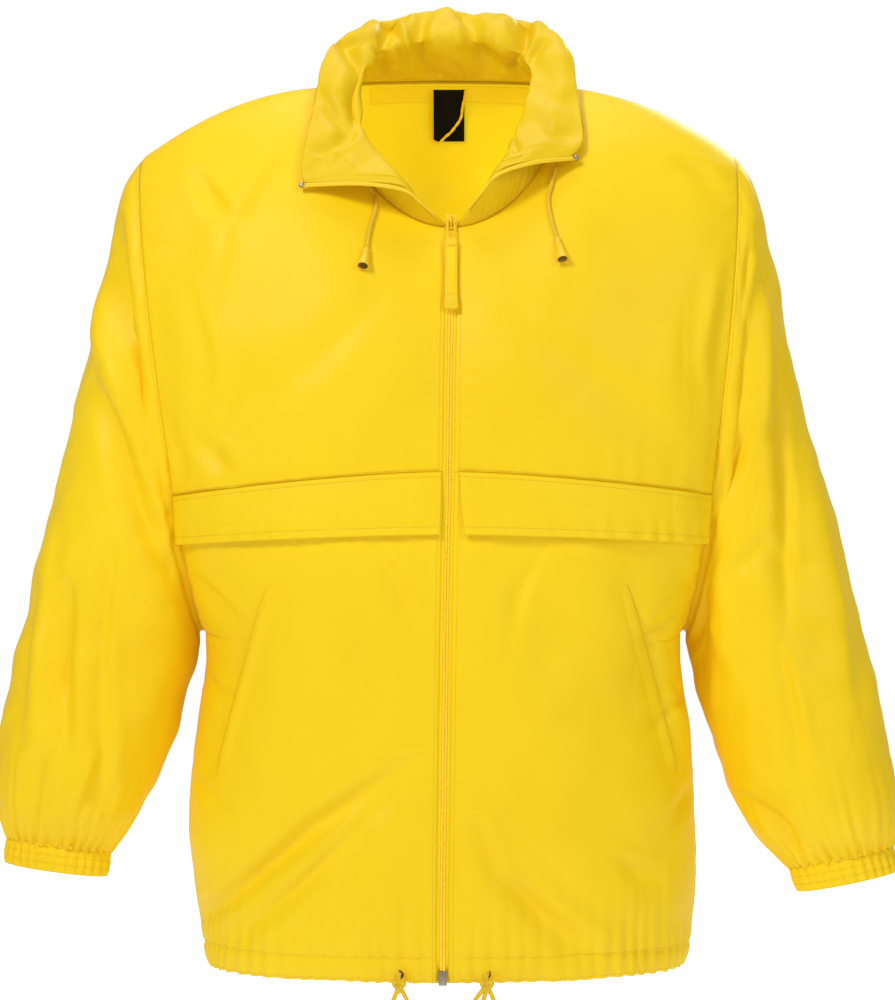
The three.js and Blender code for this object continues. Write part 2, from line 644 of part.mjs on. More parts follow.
for (const side of sides) {
  const rows = bodyRows(side, -1);
  const lowerRows = rows.map(({ edge, z, open }) => frontRow(side, frontEdge(side, z), edge, open));
  const band = hemBand(lowerRows[0], hemFoot, 1.6);
  side.frontRows = lowerRows;
  side.lower = sheetOf([...band, ...lowerRows], false, side.sign < 0);

  const bottom = lowerRows[lowerRows.length - 1];
  const top = [];
  for (let j = 0; j <= neckColumns; j++) top.push(neckPoint(side, mix(2.56, 90, j / neckColumns)));
  for (let j = 1; j <= frontColumns - neckColumns; j++) {
    top.push(shoulderPoint(side, j / (frontColumns - neckColumns)));
  }
  side.neckRow = top.slice(0, neckColumns + 1);
  const first = [];
  const last = [];
  for (let i = 0; i <= upperRows; i++) {
    const t = i / upperRows;
    first.push(i === upperRows ? top[0] : frontEdge(side, mix(chestSeamZ, top[0].z, t)));
    last.push(armholePoint(side, seamAngle * (1 - t), -1));
  }
  const upperGrid = fillPatch(bottom, top, first, last, (u) => 0.75 * u ** 1.5, -8);
  side.upperGrid = upperGrid;
  side.upper = sheetOf(upperGrid, false, side.sign < 0);
}

// The back runs from the wearer's right side to the left.
const backSides = sides.map((side) => bodyRows(side, 1));
const halfBack = frontColumns - neckColumns + backNeckColumns;
const backRows = backSides[0].map((row, i) => {
  const centre = V(0, readTable(backCentre, "z", row.z).y, row.z);
  const points = [];
  for (let j = -halfBack; j <= halfBack; j++) {
    const edge = j < 0 ? row.edge : backSides[1][i].edge;
    points.push(sectionPoint(centre, edge, (Math.PI / 2) * (Math.abs(j) / halfBack), row.open));
  }
  return points;
});
const backTop = [];
for (let j = 0; j < frontColumns - neckColumns; j++) {
  backTop.push(shoulderPoint(right, 1 - j / (frontColumns - neckColumns)));
}
for (let j = 0; j <= backNeckColumns; j++) backTop.push(neckPoint(right, mix(90, 180, j / backNeckColumns)));
for (let j = 1; j <= backNeckColumns; j++) backTop.push(neckPoint(left, mix(180, 90, j / backNeckColumns)));
for (let j = 1; j <= frontColumns - neckColumns; j++) {
  backTop.push(shoulderPoint(left, j / (frontColumns - neckColumns)));
}
const backEdges = sides.map((side) => {
  const points = [];
  for (let i = 0; i <= upperRows; i++) points.push(armholePoint(side, seamAngle * (1 - i / upperRows), 1));
  return points;
});
const backUpper = fillPatch(
  backRows[backRows.length - 1],
  backTop,
  backEdges[0],
  backEdges[1],
  (u) => 0.3 + 0.5 * Math.abs(2 * u - 1),
  -6,
);
const backBand = hemBand(backRows[0], hemFoot, 1.6);
const back = sheetOf([...backBand, ...backRows, ...backUpper.slice(1)], false, true);

// Sleeves: rings between an outer and an inner line, from the armhole loop to the cuff.
const ringAngles = [];
for (let i = 0; i < upperRows; i++) ringAngles.push((seamAngle * i) / upperRows);
ringAngles.push(seamAngle, ...armholeRows);
const ringCount = 2 * (ringAngles.length - 1);

function sleeveRing(side, at, factor = 1, gather = 0) {
  const row = readTable(side.sleeve, "at", at);
  const settle = Math.min(at / 4, 1);
  const ring = [];
  for (let k = 0; k < ringCount * factor; k++) {
    const whole = Math.floor(k / factor);
    const part = k / factor - whole;
    const angleOf = (i) => {
      const n = i % ringCount;
      const half = ringCount / 2;
      return n <= half ? ringAngles[n] : 360 - ringAngles[ringCount - n];
    };
    const a = angleOf(whole);
    const b = whole + 1 === ringCount ? 360 : angleOf(whole + 1);
    const turn = radians(mix(mix(a, b, part), (360 * k) / (ringCount * factor), settle));
    const half = (1 + Math.cos(turn)) / 2;
    const depth = Math.sin(turn) > 0 ? row.front : row.back;
    const wave = 1 + gather * Math.cos((2 * Math.PI * k) / bandFactor);
    const bow = (1 - settle) * side.armholeBow * Math.abs(Math.sin(turn));
    const x = mix(row.inX, row.outX, half) + bow;
    const centreX = (row.inX + row.outX) / 2;
    ring.push(
      V(
        side.sign * mix(centreX, x, wave),
        row.y - depth * Math.sin(turn) * wave,
        mix(row.inZ, row.outZ, half),
      ),
    );
  }
  return ring;
}

// The first ring is the armhole loop itself.
function armholeRing(side) {
  const ring = ringAngles.map((angle) => armholePoint(side, angle, -1));
  for (let i = ringAngles.length - 2; i > 0; i--) ring.push(armholePoint(side, ringAngles[i], 1));
  return ring;
}

const sleeveSteps = [0.55, 1.3, 2.2, 3.2, 4.3, 5.5, 6.7, 7.9, 9, 10, 11, 12];
const cuffGather = 0.055;

for (const side of sides) {
  const rings = [armholeRing(side), ...sleeveSteps.map((at) => sleeveRing(side, at))];
  const lastRing = sleeveRing(side, 13, 2, cuffGather);
  rings.push(sleeveRing(side, 12.6, 2, cuffGather * 0.6), lastRing);
  side.sleeveSheet = sheetOf(rings, true, side.sign < 0);

  const drop = side.cuffDrop;
  const cuffRings = [0, 0.5, 1].map((t) =>
    lastRing.map((p, k) => {
      const ruffle = Math.cos((2 * Math.PI * k) / bandFactor);
      const centre = readTable(side.sleeve, "at", 13);
      const out = V(p.x - (side.sign * (centre.inX + centre.outX)) / 2, p.y - centre.y, 0).normalize();
      const swell = t === 0.5 ? 1.5 : 0;
      return p
        .clone()
        .add(V(side.sign * drop.x * t, drop.y * t, drop.z * t))
        .addScaledVector(out, swell + t * ruffle * 1.2);
    }),
  );
  side.cuffSheet = sheetOf(cuffRings, true, side.sign < 0);
}

// Collar: sections through the stand, over its crest and back down inside.
function collarSection(side, rows, phi, foot) {
  const row = readTable(rows, "phi", phi);
  const turn = radians(phi);
  const outward = V(side.sign * Math.sin(turn), -Math.cos(turn), 0);
  const crest = V(row.crestX, row.crestY, row.crestZ);
  const edge = V(row.edgeX, row.edgeY, row.edgeZ);
  const under = crest.clone().addScaledVector(outward, row.span);
  under.z -= row.drop;
  const seamInside = foot.clone().addScaledVector(outward, -3.6);
  seamInside.z += 2;
  const stand = foot.clone().lerp(under, 0.5).addScaledVector(outward, 3);
  const over = edge.clone().lerp(crest, 0.5);
  over.z += 4;
  const inside = crest.clone().lerp(seamInside, 0.5).addScaledVector(outward, -2);
  const curve = new THREE.CatmullRomCurve3([foot, stand, under, edge, over, crest, inside, seamInside]);
  return curve.getPoints(collarAround);
}

const collarFeet = [];
const addFeet = (points, side, rows, phis) => {
  for (let j = 0; j + 1 < points.length; j++) {
    for (let k = 0; k < collarPerColumn; k++) {
      const t = k / collarPerColumn;
      const foot = points[j].clone().lerp(points[j + 1], t);
      collarFeet.push({ side, rows, phi: mix(phis[j], phis[j + 1], t), foot });
    }
  }
};
const frontPhis = right.neckRow.map((_, j) => mix(2.56, 90, j / neckColumns));
const backPhis = Array.from({ length: backNeckColumns + 1 }, (_, j) => mix(90, 180, j / backNeckColumns));
addFeet(right.neckRow, right, collarRight, frontPhis);
addFeet(backPhis.map((phi) => neckPoint(right, phi)), right, collarRight, backPhis);
const backPhisDown = [...backPhis].reverse();
addFeet(backPhisDown.map((phi) => neckPoint(left, phi)), left, collarLeft, backPhisDown);
const frontPhisDown = [...frontPhis].reverse();
addFeet([...left.neckRow].reverse(), left, collarLeft, frontPhisDown);
collarFeet.push({ side: left, rows: collarLeft, phi: 2.56, foot: left.neckRow[0] });
const collarSections = collarFeet.map(({ side, rows, phi, foot }) => collarSection(side, rows, phi, foot));
const collar = sheetOf(collarSections, false, false);

// Folds and walls of the main cloth.
const clothSheets = [right.lower, right.upper, left.lower, left.upper, back];
clothSheets.push(right.sleeveSheet, left.sleeveSheet, right.cuffSheet, left.cuffSheet, collar);
pushSheets(clothSheets, (p, normal) => {
  const calm = p.y < 0 ? THREE.MathUtils.smoothstep(Math.abs(p.x), zipCalm.none, zipCalm.full) : 1;
  return calm * foldPush(p, normal);
});
shareNormals(clothSheets);

// The nearest point of a front to a place seen from the front, with its normal.
function pointOnFront(sheet, x, z) {
  for (const [a, b, c] of sheet.triangles) {
    const [p, q, r] = [a, b, c].map((k) => sheet.points[k]);
    const area = (q.x - p.x) * (r.z - p.z) - (r.x - p.x) * (q.z - p.z);
    if (Math.abs(area) < 1e-6) continue;
    const u = ((x - p.x) * (r.z - p.z) - (r.x - p.x) * (z - p.z)) / area;
    const v = ((q.x - p.x) * (z - p.z) - (x - p.x) * (q.z - p.z)) / area;
    if (u < -1e-6 || v < -1e-6 || u + v > 1 + 1e-6) continue;
    const at = V(x, p.y + u * (q.y - p.y) + v * (r.y - p.y), z);
    const normal = q.clone().sub(p).cross(r.clone().sub(p)).normalize();
    return { at, normal };
  }
  throw new Error("no cloth at x " + x + ", z " + z);
}

// A row of a sheet made of rows of known lengths, with its normals.
function rowOf(sheet, rowLengths, index) {
  const from = rowLengths.slice(0, index).reduce((sum, n) => sum + n, 0);
  const to = from + rowLengths[index];
  return sheet.points.slice(from, to).map((at, k) => ({ at, normal: sheet.normals[from + k] }));
}

// A row moved outwards by an amount.
const lifted = (row, amount) => row.map(({ at, normal }) => at.clone().addScaledVector(normal, amount));

const frontRowLengths = (side) => {
  const bandLength = frontColumns * bandFactor + 1;
  return [bandLength, bandLength, ...side.frontRows.map((row) => row.length)];
};

// Chest flaps: the top rows of the lower front, moved out and free at the lower edge.
function makeFlap(side) {
  const lengths = frontRowLengths(side);
  const last = lengths.length - 1;
  const rows = flapRows.map(({ down, lift, zipInset }) => {
    const row = lifted(rowOf(side.lower, lengths, last - down), lift);
    row[0].lerp(row[1], zipInset[side.name] / row[0].distanceTo(row[1]));
    const end = row.length - 1;
    row[end].lerp(row[end - 1], flapSideInset / row[end].distanceTo(row[end - 1]));
    return row;
  });
  const sheet = sheetOf(rows.reverse(), false, side.sign < 0);
  sheet.normals = ownNormals(sheet);
  return wallOf(sheet, clothWall, 0.1);
}

// Pocket welts: a folded edge along the slanted mouth, lying on the lower front.
function makeWelt(side) {
  const { top, foot, width, stations } = pocketMouth;
  const rows = [];
  for (let i = 0; i <= stations; i++) {
    const t = i / stations;
    const row = [];
    for (const share of [1, 0.5, 0]) {
      const x = side.sign * (mix(top.x, foot.x, t) - width * share);
      const { at, normal } = pointOnFront(side.lower, x, mix(top.z, foot.z, t));
      row.push(at.addScaledVector(normal, weltLift));
    }
    rows.push(row);
  }
  const sheet = sheetOf(rows, false, side.sign > 0);
  sheet.normals = ownNormals(sheet);
  return wallOf(sheet, 1.2, 0);
}

for (const side of sides) {
  addPiece("front_upper_" + side.name, wallOf(side.upper), nylonYellow);
  const { at, normal } = pointOnFront(side.lower, eyelet[side.name].x, eyelet[side.name].z);
  side.eyeletAt = at;
  side.eyeletOut = normal;
  const punch = new THREE.CylinderGeometry(eyelet.hole, eyelet.hole, 12, 12);
  punch.applyQuaternion(new THREE.Quaternion().setFromUnitVectors(V(0, 1, 0), normal));
  punch.translate(at.x, at.y, at.z);
  const lower = solidOf(wallOf(side.lower)).subtract(solidOf(punch));
  addPiece("front_lower_" + side.name, geometryOf(lower), nylonYellow);
  addPiece("chest_flap_" + side.name, makeFlap(side), nylonYellow);
  addPiece("pocket_welt_" + side.name, makeWelt(side), nylonYellow);
  addPiece("sleeve_" + side.name, wallOf(side.sleeveSheet, clothWall, sleeveDrawIn), nylonYellow);
  addPiece("cuff_" + side.name, wallOf(side.cuffSheet), nylonYellow);
}
addPiece("back", wallOf(back), nylonYellow);
addPiece("collar", wallOf(collar, clothWall, collarDrawIn), nylonYellow);

// A tube of round section along a smooth curve through points.
function tubeAlong(points, radius, sides, steps) {
  const outline = [];
  for (let k = 0; k < sides; k++) {
    const turn = (2 * Math.PI * k) / sides;
    outline.push(new THREE.Vector2(radius * Math.cos(turn), radius * Math.sin(turn)));
  }
  const extrudePath = new THREE.CatmullRomCurve3(points);
  return new THREE.ExtrudeGeometry(new THREE.Shape(outline), { steps, extrudePath, curveSegments: 1 });
}

// A turned piece along an axis from a point: the profile holds radius and distance along the axis.
function turned(profile, at, direction, segments) {
  const geometry = new THREE.LatheGeometry(profile.map(([r, h]) => new THREE.Vector2(r, h)), segments);
  geometry.applyQuaternion(new THREE.Quaternion().setFromUnitVectors(V(0, 1, 0), direction.clone().normalize()));
  geometry.translate(at.x, at.y, at.z);
  return geometry;
}

// Zip: two closed tapes between the front edges.
const zipRows = [];
for (let i = 1; i < frontRowLengths(right).length; i++) {
  const [a, b] = sides.map((side) => rowOf(side.lower, frontRowLengths(side), i)[0].at);
  zipRows.push(a.clone().lerp(b, 0.5));
}
for (let i = 1; i < upperRows; i++) {
  const [a, b] = sides.map((side) => side.upper.points[i * (frontColumns + 1)]);
  zipRows.push(a.clone().lerp(b, 0.5));
}
const zipTop = V(0, 0, 0).lerpVectors(right.upper.points[upperRows * (frontColumns + 1)], left.neckRow[0], 0.5);
zipRows.push(zipRows[zipRows.length - 1].clone().lerp(zipTop, 0.85));

// Frames along the zip: across is +X, out is away from the body.
const zipFrames = zipRows.map((at, i) => {
  const along = zipRows[Math.min(i + 1, zipRows.length - 1)].clone().sub(zipRows[Math.max(i - 1, 0)]);
  return { at, across: V(1, 0, 0), out: V(0, -along.z, along.y).normalize() };
});

function tapeSection(sign) {
  const back = -2.6;
  const section = [
    [tapeReach, back],
    [coilInner, back],
    [coilInner, 0.9],
    [coilInner + 0.9, 1.5],
    [coilWidth - 0.9, 1.5],
    [coilWidth, 0.9],
    [coilWidth, back + tapeThick],
    [tapeReach, back + tapeThick],
  ];
  return section.map(([u, v]) => [sign * u, v]);
}
for (const side of sides) addPiece("zip_tape_" + side.name, sweep(tapeSection(side.sign), zipFrames), nylonYellow);

// Zip: the open stretches along the collar's front ends, each with its top stop.
const sectionLength = collarAround + 1;
function openZipPath(side) {
  const count = collarSections.length;
  const [first, next] = side === right ? [0, 1] : [count - 1, count - 2];
  const at = (s, k) => collar.points[s * sectionLength + k];
  const path = [];
  for (let k = 1; k <= openZip.last; k++) {
    const run = at(first, k + 1).clone().sub(at(first, k - 1)).normalize();
    const away = at(first, k).clone().sub(at(next, k));
    away.addScaledVector(run, -away.dot(run)).normalize();
    path.push(at(first, k).clone().addScaledVector(away, openZip.reach));
  }
  return path;
}
for (const side of sides) {
  const path = openZipPath(side);
  addPiece("zip_open_" + side.name, tubeAlong(path, openZip.radius, 8, 26), nylonYellow);
  const end = path[path.length - 1];
  const run = end.clone().sub(path[path.length - 2]).normalize();
  const stop = [[0, 0], [topStop.radius, 0], [topStop.radius, topStop.length], [0, topStop.length]];
  addPiece("zip_stop_" + side.name, turned(stop, end.clone().addScaledVector(run, 0.3), run, 10), stopMetal);
}

// Zip: the box at its foot, the slider with its arch, and the pull that hangs from it.
const boxAt = zipRows[0].clone().add(V(0, 0, -zipBox.gap - zipBox.height / 2));
const boxSolid = new THREE.BoxGeometry(zipBox.width, zipBox.thick, zipBox.height);
boxSolid.translate(boxAt.x, boxAt.y, boxAt.z);
addPiece("zip_box", boxSolid, mouldedYellow);

const { Manifold, CrossSection } = wasm;
const boxAbout = (x, y, z, sizeX, sizeY, sizeZ) => Manifold.cube([sizeX, sizeY, sizeZ], true).translate([x, y, z]);

function makeSlider() {
  const half = slider.height / 2;
  const outline = [
    [-slider.foot / 2, -half],
    [slider.foot / 2, -half],
    [slider.width / 2, half * 0.4],
    [slider.width / 2, half],
    [-slider.width / 2, half],
    [-slider.width / 2, half * 0.4],
  ];
  const plate = new CrossSection([outline]).extrude(slider.thick).rotate([90, 0, 0]);
  const front = -slider.thick - arch.rise / 2;
  const block = boxAbout(0, front, 0, arch.width, arch.rise + 0.4, arch.height);
  const eye = boxAbout(0, front + arch.bar / 2, 0, arch.width + 1, arch.rise - arch.bar, arch.height - 2 * arch.bar);
  return plate.add(block.subtract(eye)).rotate([slider.tilt, 0, 0]).translate([slider.x, slider.y, slider.z]);
}
addPiece("zip_slider", geometryOf(makeSlider()), mouldedYellow);

// The pull's pin lies in the arch; the axis of its swing is the pin's own.
const tilt = radians(slider.tilt);
const pinReach = slider.thick + (arch.rise - arch.bar) / 2;
const pinAt = [slider.x, slider.y - pinReach * Math.cos(tilt), slider.z - pinReach * Math.sin(tilt)];

function makePull() {
  const bar = pull.barWidth;
  const pin = Manifold.cylinder(pull.pinLength, pull.pin, pull.pin, 10, true).rotate([0, 90, 0]);
  const apart = (pull.pinLength - bar) / 2;
  const link = [-1, 1].map((s) => boxAbout(s * apart, 0, -pull.linkLength / 2, bar, bar, pull.linkLength));
  const corner = pull.width / 4;
  const outline = new THREE.Shape();
  const half = pull.width / 2;
  outline.moveTo(-half + corner, -pull.length);
  outline.absarc(half - corner, -pull.length + corner, corner, -Math.PI / 2, 0, false);
  outline.absarc(half - corner, -corner, corner, 0, Math.PI / 2, false);
  outline.absarc(-half + corner, -corner, corner, Math.PI / 2, Math.PI, false);
  outline.absarc(-half + corner, -pull.length + corner, corner, Math.PI, Math.PI * 1.5, false);
  const ring = outline.getPoints(4).map(({ x, y }) => [x, y]);
  const tab = new CrossSection([ring]).extrude(pull.thick, 0, 0, [1, 1], true).rotate([90, 0, 0]);
  const whole = Manifold.union([pin, ...link, tab.translate([0, 0, -pull.linkLength + 2])]);
  return whole.rotate([pull.tilt, 0, 0]).translate(pinAt);
}
addPiece("zip_pull", geometryOf(makePull()), mouldedYellow);

// Collar cords with their bells.
function bellProfile(length) {
  const { bellStart, bellTop, bellMouth, bellWall } = collarCord;
  return [
    [0, 0],
    [bellStart + bellWall, 0],
    [bellTop + 0.6, length * 0.3],
    [bellTop + 1, length * 0.55],
    [bellMouth, length],
    [bellMouth - bellWall, length],
    [bellTop - 0.4, length * 0.6],
    [0, length * 0.6],
  ];
}
for (const side of sides) {
  const path = side.collarCord.map((p) => V(...p));
  const { radius, sides: count } = collarCord;
  addPiece("collar_cord_" + side.name, tubeAlong(path, radius, count, 10), cordYellow);
  const end = path[path.length - 1];
  const run = V(...side.bellEnd).sub(end);
  const length = run.length() - 0.4;
  run.normalize();
  addPiece("cord_bell_" + side.name, turned(bellProfile(length), end.addScaledVector(run, 0.4), run, 14), mouldedYellow);
}

// Hem: eyelet rings, knots whose neck comes out of the eyelet, and the free strands below them.
for (const side of sides) {
  const out = side.eyeletOut;
  const base = side.eyeletAt.clone().addScaledVector(out, eyelet.lift);
  const washer = [[eyelet.hole, 0], [eyelet.ring, 0], [eyelet.ring, eyelet.thick], [eyelet.hole, eyelet.thick], [eyelet.hole, 0]];
  addPiece("hem_eyelet_" + side.name, turned(washer, base, out, 16), mouldedYellow);

  side.knotAt = V(side.eyeletAt.x + side.sign * 0.5, side.eyeletAt.y - knot.forward, side.eyeletAt.z - 9.5);
  const ball = solidOf(new THREE.SphereGeometry(knot.radius, 12, 8)).translate([side.knotAt.x, side.knotAt.y, side.knotAt.z]);
  const inside = side.eyeletAt.clone().addScaledVector(out, -3);
  const mouth = side.eyeletAt.clone().addScaledVector(out, 3.6);
  const neckTube = solidOf(tubeAlong([inside, mouth, side.knotAt], hemCord.radius, hemCord.sides, 8));
  addPiece("hem_knot_" + side.name, geometryOf(ball.add(neckTube)), cordYellow);
}
for (const { name, side, x, footX, footZ } of hemStrands) {
  const foot = V(footX, side.knotAt.y - 1, footZ);
  const start = side.knotAt.clone().addScaledVector(V(x - side.knotAt.x, 0, -knot.radius).normalize(), knot.radius + 0.4);
  const bend = V(mix(start.x, foot.x, 0.7), start.y - 1.5, mix(start.z, foot.z, 0.5));
  addPiece(name, tubeAlong([start, bend, foot], hemCord.radius, hemCord.sides, 8), cordYellow);
}

// Inside the back of the neck.
const insideBack = (x, z, lift) => {
  const { at, normal } = pointOnFront(back, x, z);
  return at.addScaledVector(normal, (normal.y > 0 ? 1 : -1) * lift);
};

function stripInside(piece, columns, rowsOfZ) {
  const rows = rowsOfZ.map((zOf) =>
    Array.from({ length: columns + 1 }, (_, j) => {
      const x = mix(piece.fromX, piece.toX, j / columns);
      return insideBack(x, zOf(x), piece.lift);
    }),
  );
  const sheet = sheetOf(rows, false, true);
  sheet.normals = ownNormals(sheet);
  return wallOf(sheet, piece.thick, 0);
}
const seamHeight = (x) => neck.sideZ + neck.backRise * Math.sqrt(1 - (x / neck.halfWidth) ** 2);
const tapeRows = [1, 0.5, 0].map((share) => (x) => seamHeight(x) - neckTape.topZ - neckTape.drop * share);
addPiece("neck_tape", stripInside(neckTape, neckTape.stations, tapeRows), nylonYellow);
const labelRows = [1, 0.67, 0.33, 0].map((share) => () => mix(label.topZ, label.footZ, share));
addPiece("neck_label", stripInside(label, 3, labelRows), labelBlack);
const hanging = loopPath.map(({ x, z }) => insideBack(x, z, loop.lift));
addPiece("hanger_loop", tubeAlong(hanging, loop.radius, 8, 24), cordYellow);

export default jacket;
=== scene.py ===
import json
import math

import bmesh
import bpy
import numpy as np
from mathutils.bvhtree import BVHTree
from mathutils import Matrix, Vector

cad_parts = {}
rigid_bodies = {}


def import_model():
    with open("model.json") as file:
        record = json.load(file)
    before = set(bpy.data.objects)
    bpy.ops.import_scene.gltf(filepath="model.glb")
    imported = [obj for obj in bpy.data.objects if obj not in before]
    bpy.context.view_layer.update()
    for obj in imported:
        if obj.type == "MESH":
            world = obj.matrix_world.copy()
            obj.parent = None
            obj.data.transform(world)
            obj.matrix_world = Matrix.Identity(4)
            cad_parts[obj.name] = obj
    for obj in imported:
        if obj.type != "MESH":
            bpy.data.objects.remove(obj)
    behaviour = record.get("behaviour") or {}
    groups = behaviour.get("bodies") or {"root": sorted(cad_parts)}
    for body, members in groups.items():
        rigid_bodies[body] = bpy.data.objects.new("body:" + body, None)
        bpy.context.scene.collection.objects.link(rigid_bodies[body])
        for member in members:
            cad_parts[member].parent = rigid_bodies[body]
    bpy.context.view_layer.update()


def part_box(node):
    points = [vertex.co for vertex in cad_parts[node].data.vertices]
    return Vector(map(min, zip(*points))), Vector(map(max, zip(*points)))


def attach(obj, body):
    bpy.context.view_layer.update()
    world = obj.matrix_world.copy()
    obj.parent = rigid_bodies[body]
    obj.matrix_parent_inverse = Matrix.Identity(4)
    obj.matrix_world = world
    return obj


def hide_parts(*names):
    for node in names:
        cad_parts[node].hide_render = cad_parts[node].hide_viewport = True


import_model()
sceneObjects = bpy.context.scene.collection.objects


def vec(*numbers):
    return np.array(numbers, float)


def mix(a, b, t):
    return a + (b - a) * t


def stack(x, y, z):
    return np.stack(np.broadcast_arrays(x, y, z), -1).astype(float)


def smooth(value, low, high):
    t = np.clip((value - low) / (high - low), 0, 1)
    return t * t * (3 - 2 * t)


# Camera, floor and light

cameraSet = dict(away=3.0, height=-0.353, tall=0.865)
camera = bpy.data.objects.new("camera", bpy.data.cameras.new("camera"))
camera.data.sensor_fit = "VERTICAL"
camera.data.sensor_height = 24
camera.data.lens = 24 * cameraSet["away"] / cameraSet["tall"]
camera.location = (0, -cameraSet["away"], cameraSet["height"])
camera.rotation_euler = (math.pi / 2, 0, 0)
camera.data.clip_end = 50
sceneObjects.link(camera)
bpy.context.scene.camera = camera


# Materials

def newMaterial(name):
    material = bpy.data.materials.new(name)
    material.use_nodes = True
    return material, material.node_tree, material.node_tree.nodes["Principled BSDF"]


def addNode(tree, kind, **inputs):
    node = tree.nodes.new(kind)
    for name, value in inputs.items():
        node.inputs[name.replace("_", " ")].default_value = value
    return node


def scaledCoordinates(tree, scale):
    place = tree.nodes.new("ShaderNodeTexCoord")
    mapping = tree.nodes.new("ShaderNodeMapping")
    mapping.inputs["Scale"].default_value = scale
    tree.links.new(place.outputs["Object"], mapping.inputs["Vector"])
    return mapping.outputs["Vector"]


def colourRamp(tree, source, stops):
    ramp = tree.nodes.new("ShaderNodeValToRGB")
    ramp.color_ramp.elements[0].position, ramp.color_ramp.elements[0].color = stops[0]
    ramp.color_ramp.elements[1].position, ramp.color_ramp.elements[1].color = stops[-1]
    for position, colour in stops[1:-1]:
        ramp.color_ramp.elements.new(position).color = colour
    tree.links.new(source, ramp.inputs["Fac"])
    return ramp.outputs["Color"]


def bumpFrom(tree, height, strength, distance, before=None):
    bump = addNode(tree, "ShaderNodeBump", Strength=strength, Distance=distance)
    tree.links.new(height, bump.inputs["Height"])
    if before is not None:
        tree.links.new(before, bump.inputs["Normal"])
    return bump.outputs["Normal"]


nylonSet = dict(
    bright=(0.945, 0.645, 0.006, 1),
    deep=(0.915, 0.6, 0.005, 1),
    roughness=0.47,
    sheen=0.03,
    specular=0.22,
    wrinkle=0.16,
    wrinkleScale=17,
    # painted light: the glow values and their tints below make the cloth's outside and inside glow, lifting
    # their shade
    glow=0.05,
    insidePaintedGlow=0.3,
    insidePaintedGlowTint=(0.66, 0.8, 0.02, 1),
    paintedGlowTint=(0.8, 0.68, 0.01, 1),
)


def nylonMaterial(name, wrinkle=1.0, shade=1.0, glow=None):
    # thin glossy woven nylon: fine crinkles, a plain weave and a little change of colour
    material, tree, shader = newMaterial(name)
    spread = scaledCoordinates(tree, (1, 1, 0.7))
    patches = addNode(tree, "ShaderNodeTexNoise", Scale=6.0, Detail=3.0, Roughness=0.6)
    tree.links.new(spread, patches.inputs["Vector"])
    # shade darkens the whole colour, as painted shade
    bright = [c * shade for c in nylonSet["bright"][:3]] + [1]
    deep = [c * shade for c in nylonSet["deep"][:3]] + [1]
    colour = colourRamp(tree, patches.outputs["Fac"], [(0.35, deep), (0.65, bright)])
    tree.links.new(colour, shader.inputs["Base Color"])
    shader.inputs["Roughness"].default_value = nylonSet["roughness"]
    shader.inputs["Sheen Weight"].default_value = nylonSet["sheen"]
    shader.inputs["Sheen Roughness"].default_value = 0.35
    shader.inputs["Sheen Tint"].default_value = (1, 0.9, 0.5, 1)
    shader.inputs["Specular IOR Level"].default_value = nylonSet["specular"]
    # painted light: an even yellow glow lifts the cloth's shaded side, standing in for light let through the
    # thin cloth; where a glow is given, it takes the inside's yellow-green tint
    tint = nylonSet["paintedGlowTint"] if glow is None else nylonSet["insidePaintedGlowTint"]
    shader.inputs["Emission Color"].default_value = tint
    shader.inputs["Emission Strength"].default_value = nylonSet["glow"] if glow is None else glow
    crinkle = addNode(
        tree, "ShaderNodeTexNoise", Scale=nylonSet["wrinkleScale"], Detail=2.0, Roughness=0.45,
        Distortion=0.15
    )
    tree.links.new(spread, crinkle.inputs["Vector"])
    weaveU = addNode(tree, "ShaderNodeTexWave", Scale=900.0, Distortion=0.4)
    weaveU.bands_direction = "X"
    weaveV = addNode(tree, "ShaderNodeTexWave", Scale=900.0, Distortion=0.4)
    weaveV.bands_direction = "Z"
    weave = tree.nodes.new("ShaderNodeMath")
    weave.operation = "MULTIPLY"
    place = scaledCoordinates(tree, (1, 1, 1))
    for k, band in enumerate((weaveU, weaveV)):
        tree.links.new(place, band.inputs["Vector"])
        tree.links.new(band.outputs["Fac"], weave.inputs[k])
    soft = bumpFrom(tree, crinkle.outputs["Fac"], nylonSet["wrinkle"] * wrinkle, 0.0035)
    fine = bumpFrom(tree, weave.outputs["Value"], 0.12, 0.0002, soft)
    tree.links.new(fine, shader.inputs["Normal"])
    return material


def plainMaterial(
    name, colour, dark, roughness, metallic=0.0, grain=300.0, depth=0.0002, specular=0.4, glow=0.0
):
    # moulded, woven or metal parts: a small change of colour and a fine grain
    material, tree, shader = newMaterial(name)
    place = scaledCoordinates(tree, (1, 1, 1))
    spots = addNode(tree, "ShaderNodeTexNoise", Scale=grain, Detail=2.0)
    tree.links.new(place, spots.inputs["Vector"])
    tree.links.new(
        colourRamp(tree, spots.outputs["Fac"], [(0.3, (*dark, 1)), (0.7, (*colour, 1))]),
        shader.inputs["Base Color"]
    )
    shader.inputs["Roughness"].default_value = roughness
    shader.inputs["Metallic"].default_value = metallic
    shader.inputs["Specular IOR Level"].default_value = specular
    # painted light: glow makes the part shine in its own colour
    shader.inputs["Emission Color"].default_value = (*colour, 1)
    shader.inputs["Emission Strength"].default_value = glow
    tree.links.new(bumpFrom(tree, spots.outputs["Fac"], 0.4, depth), shader.inputs["Normal"])
    return material


nylon = nylonMaterial("yellow_nylon")
